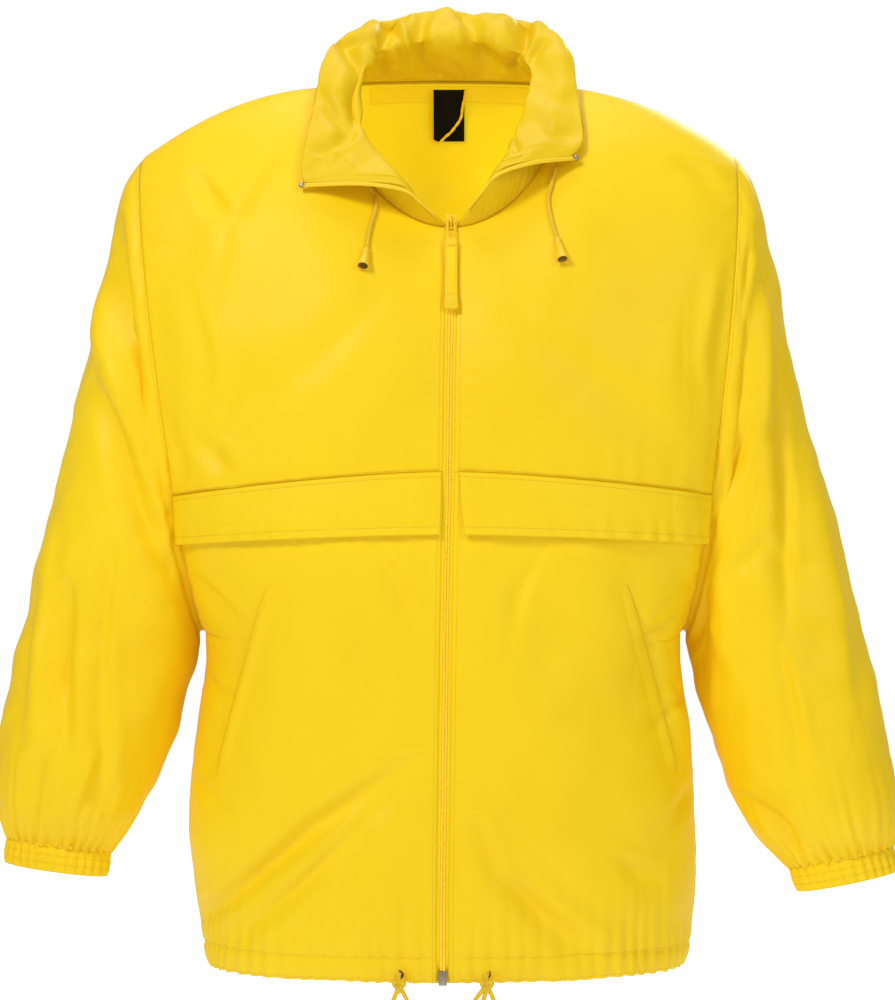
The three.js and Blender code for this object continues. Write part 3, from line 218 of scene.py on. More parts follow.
# painted shade: the folded collar's colour is darkened to 85 %, for the less light its two layers let through
nylonDoubleShaded = nylonMaterial("yellow_nylon_double_painted_shade", wrinkle=1.2, shade=0.85)
nylonSmall = nylonMaterial("yellow_nylon_trim", wrinkle=0.4)
# painted light: the neck tape's material glows at 0.2
neckNylonPaintedGlow = nylonMaterial("yellow_nylon_neck_painted_glow", wrinkle=0.5, glow=0.2)
# painted light: the cloth's inside glows yellow-green, and its colour is painted a little darker
nylonInsidePaintedGlow = nylonMaterial("yellow_nylon_inside_painted_glow", wrinkle=0.8, shade=0.96, glow=nylonSet["insidePaintedGlow"])
threadYellow = plainMaterial("yellow_thread", (0.86, 0.56, 0.01), (0.72, 0.44, 0.005), 0.6)
# painted light: the zip coil glows at 0.22 to lighten it
coilYellowPaintedGlow = plainMaterial("yellow_coil_painted_glow", (0.97, 0.74, 0.05), (0.93, 0.66, 0.03), 0.45, glow=0.22)
cordYellow = plainMaterial("yellow_cord", (0.9, 0.62, 0.03), (0.72, 0.46, 0.01), 0.7, grain=900.0)
mouldedYellow = plainMaterial("yellow_moulding", (0.92, 0.62, 0.015), (0.88, 0.58, 0.01), 0.33, grain=120.0)
# painted shade: the inside of each bell's mouth is a dark brown-yellow
bellInsidePaintedShade = plainMaterial("bell_inside_painted_shade", (0.42, 0.26, 0.02), (0.3, 0.17, 0.01), 0.6)
tapeYellow = plainMaterial("yellow_tape", (0.94, 0.65, 0.012), (0.86, 0.56, 0.006), 0.6, grain=1400.0)
# painted shade: the eyelet's inner slope and hole wall are painted dark red-brown
eyeletHolePaintedShade = plainMaterial("eyelet_hole_painted_shade", (0.16, 0.04, 0.015), (0.1, 0.02, 0.01), 0.6)
stopMetal = plainMaterial("stop_metal", (0.5, 0.43, 0.32), (0.35, 0.3, 0.22), 0.35, metallic=0.9)
labelBlack = plainMaterial(
    "label_black", (0.006, 0.005, 0.007), (0.002, 0.002, 0.003), 0.7, grain=1500.0, specular=0.1
)
print("materials made")


# Paths, tubes and turned pieces

def curveThrough(points, count):
    # a centripetal curve through points, evenly spread over its spans; points are (n, m, 3)
    points = np.concatenate(
        [2 * points[:, :1] - points[:, 1:2], points, 2 * points[:, -1:] - points[:, -2:-1]], 1
    )
    spans = points.shape[1] - 3
    out = []
    for t in np.linspace(0, spans, count + 1):
        i = min(int(t), spans - 1)
        w = t - i
        p0, p1, p2, p3 = (points[:, i + k] for k in range(4))
        d0, d1, d2 = (
            np.sqrt(np.linalg.norm(b - a, axis=1))[:, None] for a, b in ((p0, p1), (p1, p2), (p2, p3))
        )
        d0, d2 = np.where(d0 < 1e-4, d1, d0), np.where(d2 < 1e-4, d1, d2)
        t1 = ((p1 - p0) / d0 - (p2 - p0) / (d0 + d1) + (p2 - p1) / d1) * d1
        t2 = ((p2 - p1) / d1 - (p3 - p1) / (d1 + d2) + (p3 - p2) / d2) * d1
        a, b = 2 * p1 - 2 * p2 + t1 + t2, -3 * p1 + 3 * p2 - 2 * t1 - t2
        out.append(a * w**3 + b * w**2 + t1 * w + p1)
    return np.stack(out, 1)


def smoothPath(points, count):
    return curveThrough(np.array([points], float), count)[0]


def unit(v):
    return v / np.maximum(np.linalg.norm(v, axis=-1, keepdims=True), 1e-9)


def pathFrames(path):
    # tangents and a pair of sideways directions that turn as little as they can
    tangents = unit(np.gradient(path, axis=0))
    start = np.cross(tangents[0], vec(0.3, 1, 0.2))
    sideways = [unit(start)]
    for tangent in tangents[1:]:
        carried = sideways[-1] - tangent * np.dot(sideways[-1], tangent)
        sideways.append(unit(carried))
    sideways = np.array(sideways)
    return tangents, sideways, np.cross(tangents, sideways)


def addMesh(name, points, faces, materials, kinds=None, sharp=False):
    # points in millimetres
    mesh = bpy.data.meshes.new(name)
    mesh.from_pydata((np.asarray(points) / 1000).tolist(), [], [list(map(int, face)) for face in faces])
    for material in materials:
        mesh.materials.append(material)
    if kinds is not None:
        mesh.polygons.foreach_set("material_index", kinds)
    test = bmesh.new()
    test.from_mesh(mesh)
    bmesh.ops.recalc_face_normals(test, faces=test.faces)
    test.to_mesh(mesh)
    test.free()
    mesh.polygons.foreach_set("use_smooth", [not sharp] * len(mesh.polygons))
    piece = bpy.data.objects.new(name, mesh)
    sceneObjects.link(piece)
    return piece


def loft(rings, closed=True):
    # faces between rings of points, with a cap at each end
    count = len(rings[0])
    points = np.concatenate(rings)
    faces = []
    for i in range(len(rings) - 1):
        for j in range(count):
            k = (j + 1) % count
            faces.append([i * count + j, i * count + k, (i + 1) * count + k, (i + 1) * count + j])
    if closed:
        faces.append(list(range(count))[::-1])
        faces.append([(len(rings) - 1) * count + j for j in range(count)])
    return points, faces


def braidedRings(path, radius, around=20, braid=0.08, pitch=4.6, strands=4):
    # a round braided cord: two sets of strands that wind in opposite ways
    tangents, sideways, upright = pathFrames(path)
    run = np.concatenate([[0], np.cumsum(np.linalg.norm(np.diff(path, axis=0), axis=1))])
    turn = np.arange(around) * 2 * math.pi / around
    rings = []
    for at, s, side, up in zip(path, run, sideways, upright):
        wind = 2 * math.pi * s / pitch
        relief = np.maximum(np.sin(strands * turn + wind), np.sin(strands * turn - wind))
        end = min(1, 0.55 + 0.45 * min(s, run[-1] - s) / (0.6 * radius))
        r = radius * end * (1 - braid + braid * 1.3 * relief)
        rings.append(at + np.outer(r * np.cos(turn), side) + np.outer(r * np.sin(turn), up))
    return rings


def turnedPiece(name, profile, at, direction, materials, kinds=None, segments=36):
    # a closed turned piece: the profile holds radius and distance along the axis
    direction = unit(direction)
    side = unit(np.cross(direction, vec(0.2, 0.3, 1)))
    up = np.cross(direction, side)
    turn = np.arange(segments) * 2 * math.pi / segments
    rings = [
        at + direction * h + np.outer(max(r, 0.01) * np.cos(turn), side)
        + np.outer(max(r, 0.01) * np.sin(turn), up)
        for r, h in profile
    ]
    points, faces = loft(rings)
    faceKinds = None
    if kinds is not None:
        faceKinds = [kind for kind in kinds for _ in range(segments)] + [kinds[0], kinds[-1]]
    return addMesh(name, points, faces, materials, faceKinds)


# Cords: the collar's two, with moulded bells, and the hem's, knotted in front of an eyelet

collarCordSet = dict(
    radius=1.7,
    bellTop=2.7,
    bellMouth=5.4,
    bellWall=1.1,
    right=[
        (-68, -68.4, -88), (-61.5, -70.2, -94), (-60, -76.3, -102), (-61, -83, -110), (-64, -91.5, -121),
        (-66, -98.3, -131.5), (-67.2, -104.8, -142)
    ],
    left=[
        (92, -65.4, -70), (90, -70.4, -78), (87.5, -76.7, -88), (85, -82.3, -98), (85.5, -89.2, -109),
        (88, -97.7, -122), (91.5, -103.6, -134)
    ],
    rightBellEnd=(-70.3, -116.6, -158.5),
    leftBellEnd=(95.8, -116, -153),
)
hemCordSet = dict(
    radius=1.9,
    knotRadius=5.3,
    strandStart=3.2,
    rightKnot=(-40, -142, -753.5),
    leftKnot=(32.5, -142, -753.5),
    rightEyelet=(-40.4, -134.5, -744),
    leftEyelet=(32, -134.5, -744),
    rightStrands=[(-42.5, -51.5, -797), (-35.5, -25.5, -794)],
    leftStrands=[(24.5, 10.5, -795), (31.5, 24, -799), (36, 44.5, -793)],
)


def declareCord(piece, node):
    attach(piece, "garment")
    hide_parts(node)


for sideName in ("right", "left"):
    size = collarCordSet
    path = smoothPath(size[sideName], 72)
    end = path[-1]
    run = vec(*size[sideName + "BellEnd"]) - end
    long = float(np.linalg.norm(run)) - 0.4
    top, mouth, wall = size["bellTop"], size["bellMouth"], size["bellWall"]
    profile = [
        (0, 0), (1.9, 0), (2.5, 0.25), (top, 0.8), (top + 0.1, 2.2), (top + 0.45, 2.5), (top + 0.5, 3.4),
        (top + 0.2, 3.8)
    ]
    profile += [
        (top + 0.6, long * 0.4), (top + 1.1, long * 0.6), (mouth - 0.8, long * 0.82),
        (mouth - 0.1, long - 0.5), (mouth, long - 0.15)
    ]
    profile += [
        (mouth - 0.3, long), (mouth - wall, long - 0.2), (mouth - wall - 0.5, long * 0.85),
        (top, long * 0.62), (1.6, long * 0.56), (0, long * 0.55)
    ]
    # the bell's inner faces take the painted shade
    kinds = [0] * 14 + [1] * 4
    bell = turnedPiece(
        "cord_bell_moulded_" + sideName, profile, end + unit(run) * 0.4, run, [mouldedYellow, bellInsidePaintedShade],
        kinds
    )
    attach(bell, "garment")
    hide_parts("cord_bell_" + sideName)
    points, faces = loft(braidedRings(path, size["radius"]))
    cordPiece = addMesh("collar_cord_braided_" + sideName, points, faces, [cordYellow])
    declareCord(
        cordPiece, "collar_cord_" + sideName
    )

for sideName in ("right", "left"):
    size = hemCordSet
    knotAt = vec(*size[sideName + "Knot"])
    eyeletAt = vec(*size[sideName + "Eyelet"])
    for number, (x, footX, footZ) in enumerate(size[sideName + "Strands"], 1):
        foot = vec(footX, knotAt[1] - 1, footZ)
        start = knotAt + unit(vec(x - knotAt[0], 0, -size["knotRadius"])) * size["strandStart"]
        bend = vec(mix(start[0], foot[0], 0.7), start[1] - 1.5, mix(start[2], foot[2], 0.5))
        path = smoothPath([start, bend, foot], 40)
        points, faces = loft(braidedRings(path, size["radius"]))
        node = "hem_cord_" + sideName + "_" + str(number)
        strand = addMesh(node + "_braided", points, faces, [cordYellow])
        declareCord(strand, node)
    # the knot: one turn of cord over another, and the neck that goes back into the eyelet
    turn = np.linspace(0, 2 * math.pi, 90)
    loops = stack(
        np.sin(turn) + 1.5 * np.sin(2 * turn), 0.95 * np.cos(3 * turn),
        np.cos(turn) - 1.5 * np.cos(2 * turn)
    )
    knotPath = knotAt + loops * stack(1.85, 1.5, 1.8)
    parts = [loft(braidedRings(knotPath, 2.0, 16))]
    neck = smoothPath([eyeletAt + vec(0, 3, 0), eyeletAt + vec(0, -3.6, -0.6), knotAt + vec(0, 1.5, 2)], 24)
    parts.append(loft(braidedRings(neck, size["radius"], 16)))
    points = np.concatenate([p for p, f in parts])
    faces = parts[0][1] + [[i + len(parts[0][0]) for i in face] for face in parts[1][1]]
    knotPiece = addMesh("hem_knot_tied_" + sideName, points, faces, [cordYellow])
    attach(knotPiece, "garment")
    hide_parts("hem_knot_" + sideName)
print("cords made")


# Tables: the same sizes as the solids

frontCentre = dict(
    z=[-752, -700, -600, -440, -330, -240, -180, -123],
    y=[-136, -142, -144, -142, -138, -128, -110, -80],
    zipX=[-4, -4, -3, -1, 1, 2, 3, 3],
)
backCentre = dict(
    z=[-752, -700, -600, -440, -330, -240, -180, -120, -60, 15],
    y=[108, 116, 122, 128, 131, 129, 123, 113, 94, 62],
)
right = dict(
    name="right",
    sign=-1,
    shoulder=vec(264, 4, -60),
    underarm=vec(208, 2, -465),
    armholeBow=8,
    shoulderBow=16,
    sideSeam=dict(
        z=[-752, -730, -680, -625, -580, -530, -495, -465],
        x=[203, 209, 217, 222, 219, 213, 208, 208],
        y=[-2, -1, 0, 0, 1, 2, 2, 2],
    ),
    sleeve=dict(
        at=[0, 1, 2, 3, 4, 5, 6, 7, 8, 9, 10, 11, 12, 13],
        outX=[264, 277, 287, 297, 308, 322, 336, 350, 363, 374, 384, 388, 385, 376],
        outZ=[-60, -81, -116, -163, -220, -280, -338, -395, -450, -502, -552, -592, -619, -642],
        inX=[208, 214.5, 214.5, 216, 218, 220, 223, 227, 232, 239, 247, 258, 271, 290],
        inZ=[-465, -466.5, -475, -483, -492, -502, -514, -528, -545, -564, -584, -608, -630, -654],
        front=[78, 79, 79, 77, 75, 73, 71, 70, 68, 66, 63, 58, 48, 27],
        back=[72, 74, 74, 74, 73, 72, 71, 70, 68, 66, 63, 58, 48, 27],
        y=[3, 2, 1, 0, -2, -4, -6, -8, -11, -14, -17, -20, -23, -26],
    ),
    cuffDrop=vec(2, -2, -21),
)
left = dict(
    name="left",
    sign=1,
    shoulder=vec(247, 4, -56),
    underarm=vec(200, 2, -465),
    armholeBow=10,
    shoulderBow=12,
    sideSeam=dict(
        z=[-752, -730, -680, -620, -560, -525, -495, -465],
        x=[203, 208, 213, 212, 209, 204, 200, 200],
        y=[-2, -1, 0, 0, 1, 2, 2, 2],
    ),
    sleeve=dict(
        at=[0, 1, 2, 3, 4, 5, 6, 7, 8, 9, 10, 11, 12, 13],
        outX=[247, 261, 272, 283, 294, 309, 326, 341, 355, 367, 378, 385, 386, 380],
        outZ=[-56, -76, -112, -160, -220, -282, -340, -398, -454, -508, -560, -600, -628, -650],
        inX=[200, 206.5, 206.5, 208, 210, 213, 216, 220, 226, 232, 239, 250, 265, 294],
        inZ=[-465, -466.5, -475, -483, -492, -503, -516, -531, -549, -570, -590, -616, -640, -668],
        front=[78, 79, 79, 77, 75, 73, 71, 70, 68, 66, 63, 58, 48, 27],
        back=[72, 74, 74, 74, 73, 72, 71, 70, 68, 66, 63, 58, 48, 27],
        y=[3, 2, 1, 0, -2, -4, -6, -8, -11, -14, -17, -20, -23, -26],
    ),
    cuffDrop=vec(6, -2, -20),
)
sides = (right, left)
bodySet = dict(zipHalf=4.6, hemZ=-752, bandZ=-731, chestZ=-330, seamAngle=115.6)
armholeAngles = [180, 166, 153, 141, 129, 122.1, 115.6]
armholeCentreZ = [-496, -468, -440, -411, -382, -356, -330]
neckSet = dict(half=103, y=-8, depth=70, sideZ=2, drop=125, rise=13)

collarRight = dict(
    phi=[2.56, 14, 30, 50, 68, 84, 100, 120, 145, 180],
    crestX=[-40, -47, -60, -73, -78, -74, -67, -56, -36, 0],
    crestY=[-93, -84, -68, -48, -30, -12, 3, 14, 22, 25],
    crestZ=[-84, -74, -58, -38, -12, 14, 28, 38, 45, 50],
    edgeX=[-121, -123, -122, -119, -113, -108, -98, -80, -48, 0],
    edgeY=[-86, -81, -73, -60, -36, -8, 12, 30, 46, 54],
    edgeZ=[-86, -77, -63, -43, -11, 22, 44, 57, 70, 79],
    span=[4, 5, 6, 8, 11, 18, 28, 36, 42, 46],
    drop=[6, 6, 6, 6, 5, 3, 1, 0, 0, 0],
)
collarLeft = dict(
    phi=[2.56, 14, 30, 50, 68, 84, 100, 120, 145, 180],
    crestX=[46, 50, 56, 62, 68, 72, 67, 56, 36, 0],
    crestY=[-92, -84, -68, -48, -30, -12, 3, 14, 22, 25],
    crestZ=[-70, -62, -50, -32, -10, 12, 28, 38, 45, 50],
    edgeX=[106, 113, 115, 114, 111, 108, 100, 84, 50, 0],
    edgeY=[-74, -68, -61, -51, -31, -8, 12, 30, 46, 54],
    edgeZ=[-62, -54, -44, -30, -6, 24, 44, 59, 71, 79],
    span=[4, 5, 6, 8, 11, 18, 28, 36, 42, 46],
    drop=[6, 6, 6, 6, 5, 3, 1, 0, 0, 0],
)

# large folds, as in the solids: x and z from, x and z to, half width, depth, front or back
largeFolds = [
    (-292, -120, -232, -330, 17, -9, -1),
    (-300, -258, -240, -408, 15, -8, -1),
    (-325, -430, -328, -560, 16, -8, -1),
    (-345, -560, -352, -630, 12, -6, -1),
    (262, -140, 236, -330, 17, -9, -1),
    (272, -285, 232, -360, 15, -7, -1),
    (293, -225, 292, -460, 14, -7, -1),
    (262, -600, 300, -650, 12, -6, -1),
    (-232, -735, -20, -560, 24, -7, -1),
    (30, -620, 120, -735, 22, -6, -1),
    (-215, -330, -150, -250, 22, -6, -1),
    (150, -410, 190, -600, 16, -6, -1),
    (-215, -340, -70, -620, 26, -9, 1),
    (215, -340, 90, -650, 26, -8, 1),
    (-20, -420, 10, -700, 30, -7, 1),
    (-285, -170, -250, -400, 18, -9, 1),
    (275, -180, 240, -400, 18, -9, 1),
    (-372, -430, -260, -520, 16, -7, 1),
    (365, -420, 255, -520, 16, -7, 1),
]


def readTable(table, along, at):
    # every column at places along the table, smoothly between its rows
    order = np.argsort(table[along])
    keys = np.array(table[along], float)[order]
    place = np.clip(at, keys[0], keys[-1])
    i = np.clip(np.searchsorted(keys, place) - 1, 0, len(keys) - 2)
    before = np.maximum(i - 1, 0)
    after = np.minimum(i + 2, len(keys) - 1)
    step = keys[i + 1] - keys[i]
    t = (place - keys[i]) / step
    h = t * t * (3 - 2 * t)
    found = {}
    for name, column in table.items():
        v = np.array(column, float)[order]
        slopeA = (v[i + 1] - v[before]) / (keys[i + 1] - keys[before])
        slopeB = (v[after] - v[i]) / (keys[after] - keys[i])
        found[name] = v[i] * (1 - h) + v[i + 1] * h + step * (
            slopeA * t * (1 - t) ** 2 - slopeB * t * t * (1 - t)
        )
    return found


def neckPoint(side, phi):
    turn = np.radians(phi)
    zipX = readTable(frontCentre, "z", np.array([-123.0]))["zipX"][0]
    lean = zipX * np.maximum(np.cos(turn), 0) ** 2
    front = neckSet["sideZ"] - neckSet["drop"] * np.maximum(np.cos(turn), 0) ** 1.3
    behind = neckSet["sideZ"] - neckSet["rise"] * np.cos(turn)
    z = np.where(np.asarray(phi) < 90, front, behind)
    x = lean + side["sign"] * neckSet["half"] * np.sin(turn)
    return stack(x, neckSet["y"] - neckSet["depth"] * np.cos(turn), z)


def shoulderPoint(side, t):
    t = np.asarray(t, float)
    a = neckPoint(side, 90.0)
    s = side["shoulder"]
    bow = side["shoulderBow"] * np.maximum(np.sin(np.pi * t), 0) ** 0.8
    return stack(mix(a[0], side["sign"] * s[0], t), mix(a[1], s[1], t), mix(a[2], s[2], t) + bow)


def armholePoint(side, degrees, face):
    turn = np.radians(degrees)
    top, foot = side["shoulder"], side["underarm"]
    half = (1 + np.cos(turn)) / 2
    depth = side["sleeve"]["front"][0] if face < 0 else side["sleeve"]["back"][0]
    x = mix(foot[0], top[0], half) + side["armholeBow"] * np.sin(turn)
    y = mix(foot[1], top[1], half) + face * depth * np.sin(turn)
    return stack(side["sign"] * x, y, mix(foot[2], top[2], half))


def bodyRows(side, face, s):
    # s runs from the band line (0) up past the underarm (7) to the chest seam (13)
    low = np.clip(s / 7, 0, 1)
    z = mix(bodySet["bandZ"], side["underarm"][2], low)
    seam = readTable(side["sideSeam"], "z", z)
    sideEdge = stack(side["sign"] * seam["x"], seam["y"], z)
    angle = np.interp(s, np.arange(7, 14), armholeAngles)
    edge = np.where((s < 7)[:, None], sideEdge, armholePoint(side, angle, face))
    centreZ = np.where(
        s < 7, mix(bodySet["bandZ"], armholeCentreZ[0], low), np.interp(s, np.arange(7, 14), armholeCentreZ)
    )
    opened = np.where(s < 7, 0, (180 - angle) / (180 - bodySet["seamAngle"]))
    return edge, centreZ, opened


def sectionPoints(centre, edge, alpha, opened):
    across = np.sin(alpha)[None, :] ** mix(0.8, 0.92, opened)[:, None]
    through = np.maximum(np.cos(alpha), 0)[None, :] ** mix(0.8, 1.15, opened)[:, None]
    x = mix(centre[:, None, 0], edge[:, None, 0], across)
    y = mix(edge[:, None, 1], centre[:, None, 1], through)
    z = mix(centre[:, None, 2], edge[:, None, 2], across**1.5)
    return np.stack([x, y, z], -1)


def frontEdge(side, z):
    row = readTable(frontCentre, "z", z)
    return stack(row["zipX"] + side["sign"] * bodySet["zipHalf"], row["y"], z)


def hemRows(bandRow, count):
    # straight down from the band line and a little inwards
    foot = stack(
        bandRow[:, 0] * 0.975, bandRow[:, 1] * 0.96,
        bodySet["hemZ"] + 3 * (np.abs(bandRow[:, 0]) / 210) ** 2
    )
    shares = np.linspace(1, 0, count, endpoint=False)
    return mix(bandRow[None], foot[None], shares[:, None, None])


def spacing(columns):
    return np.linspace(0, 1, columns + 1) ** 1.25


def lowerFront(side, rows=140, columns=90, bandRows=9):
    s = np.linspace(0, 13, rows + 1)
    edge, z, opened = bodyRows(side, -1, s)
    grid = sectionPoints(frontEdge(side, z), edge, spacing(columns) * math.pi / 2, opened)
    return np.concatenate([hemRows(grid[0], bandRows), grid])


def fillPatch(bottom, top, first, last, us, vs, roundness, swell):
    u = us[None, :]
    v = vs[:, None]
    r = roundness(u)
    wy = mix(v, 1 - np.cos(math.pi / 2 * v), r)
    wz = mix(v, np.sin(math.pi / 2 * v), r)
    weights = [np.broadcast_to(v, (len(vs), len(us))), wy, wz]
    grid = np.zeros((len(vs), len(us), 3))
    for axis, w in enumerate(weights):
        a = first[:, None, axis] - mix(bottom[0, axis], top[0, axis], w)
        b = last[:, None, axis] - mix(bottom[-1, axis], top[-1, axis], w)
        grid[..., axis] = mix(bottom[None, :, axis], top[None, :, axis], w) + mix(a, b, u)
    grid[..., 1] += swell * 16 * u * (1 - u) * v * (1 - v)
    return grid


def softenRidge(grid, us, places):
    # rounds off the ridge that a neck corner sends down a patch; the patch's edges stay
    soft = grid.copy()
    for turn in range(90):
        soft[:, 1:-1] = 0.5 * soft[:, 1:-1] + 0.25 * (soft[:, :-2] + soft[:, 2:])
    near = sum(np.exp(-(((us - place) / 0.1) ** 2)) for place in places)[None, :, None]
    v = np.linspace(0, 1, len(grid))[:, None, None]
    return mix(grid, soft, near * smooth(v, 0.02, 0.12) * (1 - smooth(v, 0.9, 1)))


def upperFront(side, rows=104, columns=90):
    us = spacing(columns)
    vs = np.linspace(0, 1, rows + 1)
    edge, z, opened = bodyRows(side, -1, np.array([13.0]))
    bottom = sectionPoints(frontEdge(side, z), edge, us * math.pi / 2, opened)[0]
    neck = neckPoint(side, mix(2.56, 90, np.minimum(us * 2, 1)))
    shoulder = shoulderPoint(side, np.clip(us * 2 - 1, 0, 1))
    top = np.where((us <= 0.5)[:, None], neck, shoulder)
    first = frontEdge(side, mix(bodySet["chestZ"], top[0, 2], vs))
    first[-1] = top[0]
    last = armholePoint(side, bodySet["seamAngle"] * (1 - vs), -1)
    patch = fillPatch(bottom, top, first, last, us, vs, lambda u: 0.75 * u**1.5, -8)
    return softenRidge(patch, us, [0.5])


def backPanel(rows=140, upper=96, half=84, bandRows=9):
    w = np.concatenate([-spacing(half)[:0:-1], spacing(half)])
    s = np.linspace(0, 13, rows + 1)
    halves = []
    for side in sides:
        edge, z, opened = bodyRows(side, 1, s)
        centre = stack(0, readTable(backCentre, "z", z)["y"], z)
        halves.append(sectionPoints(centre, edge, spacing(half) * math.pi / 2, opened))
    lower = np.concatenate([halves[0][:, :0:-1], halves[1]], 1)
    us = (w + 1) / 2
    place = us * 18
    phi = np.interp(place, [5, 9, 13], [90, 180, 270])
    top = np.where(
        (place < 9)[:, None], neckPoint(right, phi), neckPoint(left, np.where(phi > 180, 360 - phi, phi))
    )
    top = np.where((place < 5)[:, None], shoulderPoint(right, np.clip(1 - place / 5, 0, 1)), top)
    top = np.where((place > 13)[:, None], shoulderPoint(left, np.clip((place - 13) / 5, 0, 1)), top)
    vs = np.linspace(0, 1, upper + 1)
    edges = [armholePoint(side, bodySet["seamAngle"] * (1 - vs), 1) for side in sides]
    patch = fillPatch(
        lower[-1], top, edges[0], edges[1], us, vs, lambda u: 0.3 + 0.5 * np.abs(2 * u - 1), -6
    )
    patch = softenRidge(patch, us, [5 / 18, 13 / 18])
    return np.concatenate([hemRows(lower[0], bandRows), lower, patch[1:]])


ringAngles = [bodySet["seamAngle"] * i / 8 for i in range(9)] + [122.1, 129, 141, 153, 166, 180]


def sleeveGrid(side, ats, around):
    # rings between an outer and an inner line, from the armhole to the cuff
    k = np.arange(around) * 28 / around
    full = ringAngles + [360 - a for a in ringAngles[-2:0:-1]] + [360]
    own = np.interp(k, np.arange(29), full)
    even = 360 * k / 28
    rings = []
    for at in ats:
        row = {
            name: float(values[0])
            for name, values in readTable(side["sleeve"], "at", np.array([at])).items()
        }
        settle = min(at / 4, 1)
        turn = np.radians(mix(own, even, settle))
        half = (1 + np.cos(turn)) / 2
        depth = np.where(np.sin(turn) > 0, row["front"], row["back"])
        bow = (1 - settle) * side["armholeBow"] * np.abs(np.sin(turn))
        x = mix(row["inX"], row["outX"], half) + bow
        armY = mix(side["underarm"][1], side["shoulder"][1], half)
        y = mix(armY, row["y"], min(at / 0.55, 1)) - depth * np.sin(turn)
        rings.append(stack(side["sign"] * x, y, mix(row["inZ"], row["outZ"], half)))
    return np.array(rings)


def collarGrid(columns=320, around=84):
    # sections through the stand, over the crest and back down inside
    run = np.linspace(-1, 1, columns + 1)
    grids = []
    for side, rows, share in ((right, collarRight, run[run <= 0] + 1), (left, collarLeft, 1 - run[run > 0])):
        phi = mix(2.56, 180, share)
        row = readTable(rows, "phi", phi)
        turn = np.radians(phi)
        outward = stack(side["sign"] * np.sin(turn), -np.cos(turn), 0)
        foot = neckPoint(side, phi)
        crest = stack(row["crestX"], row["crestY"], row["crestZ"])
        edge = stack(row["edgeX"], row["edgeY"], row["edgeZ"])
        under = crest + outward * row["span"][:, None]
        under[:, 2] -= row["drop"]
        inside = foot - outward * 3.6
        inside[:, 2] += 2
        stand = mix(foot, under, 0.5) + outward * 3
        over = mix(edge, crest, 0.5)
        over[:, 2] += 4
        turned = mix(crest, inside, 0.5) - outward * 2
        grids.append(
            curveThrough(np.stack([foot, stand, under, edge, over, crest, turned, inside], 1), around)
        )
    return np.concatenate(grids)
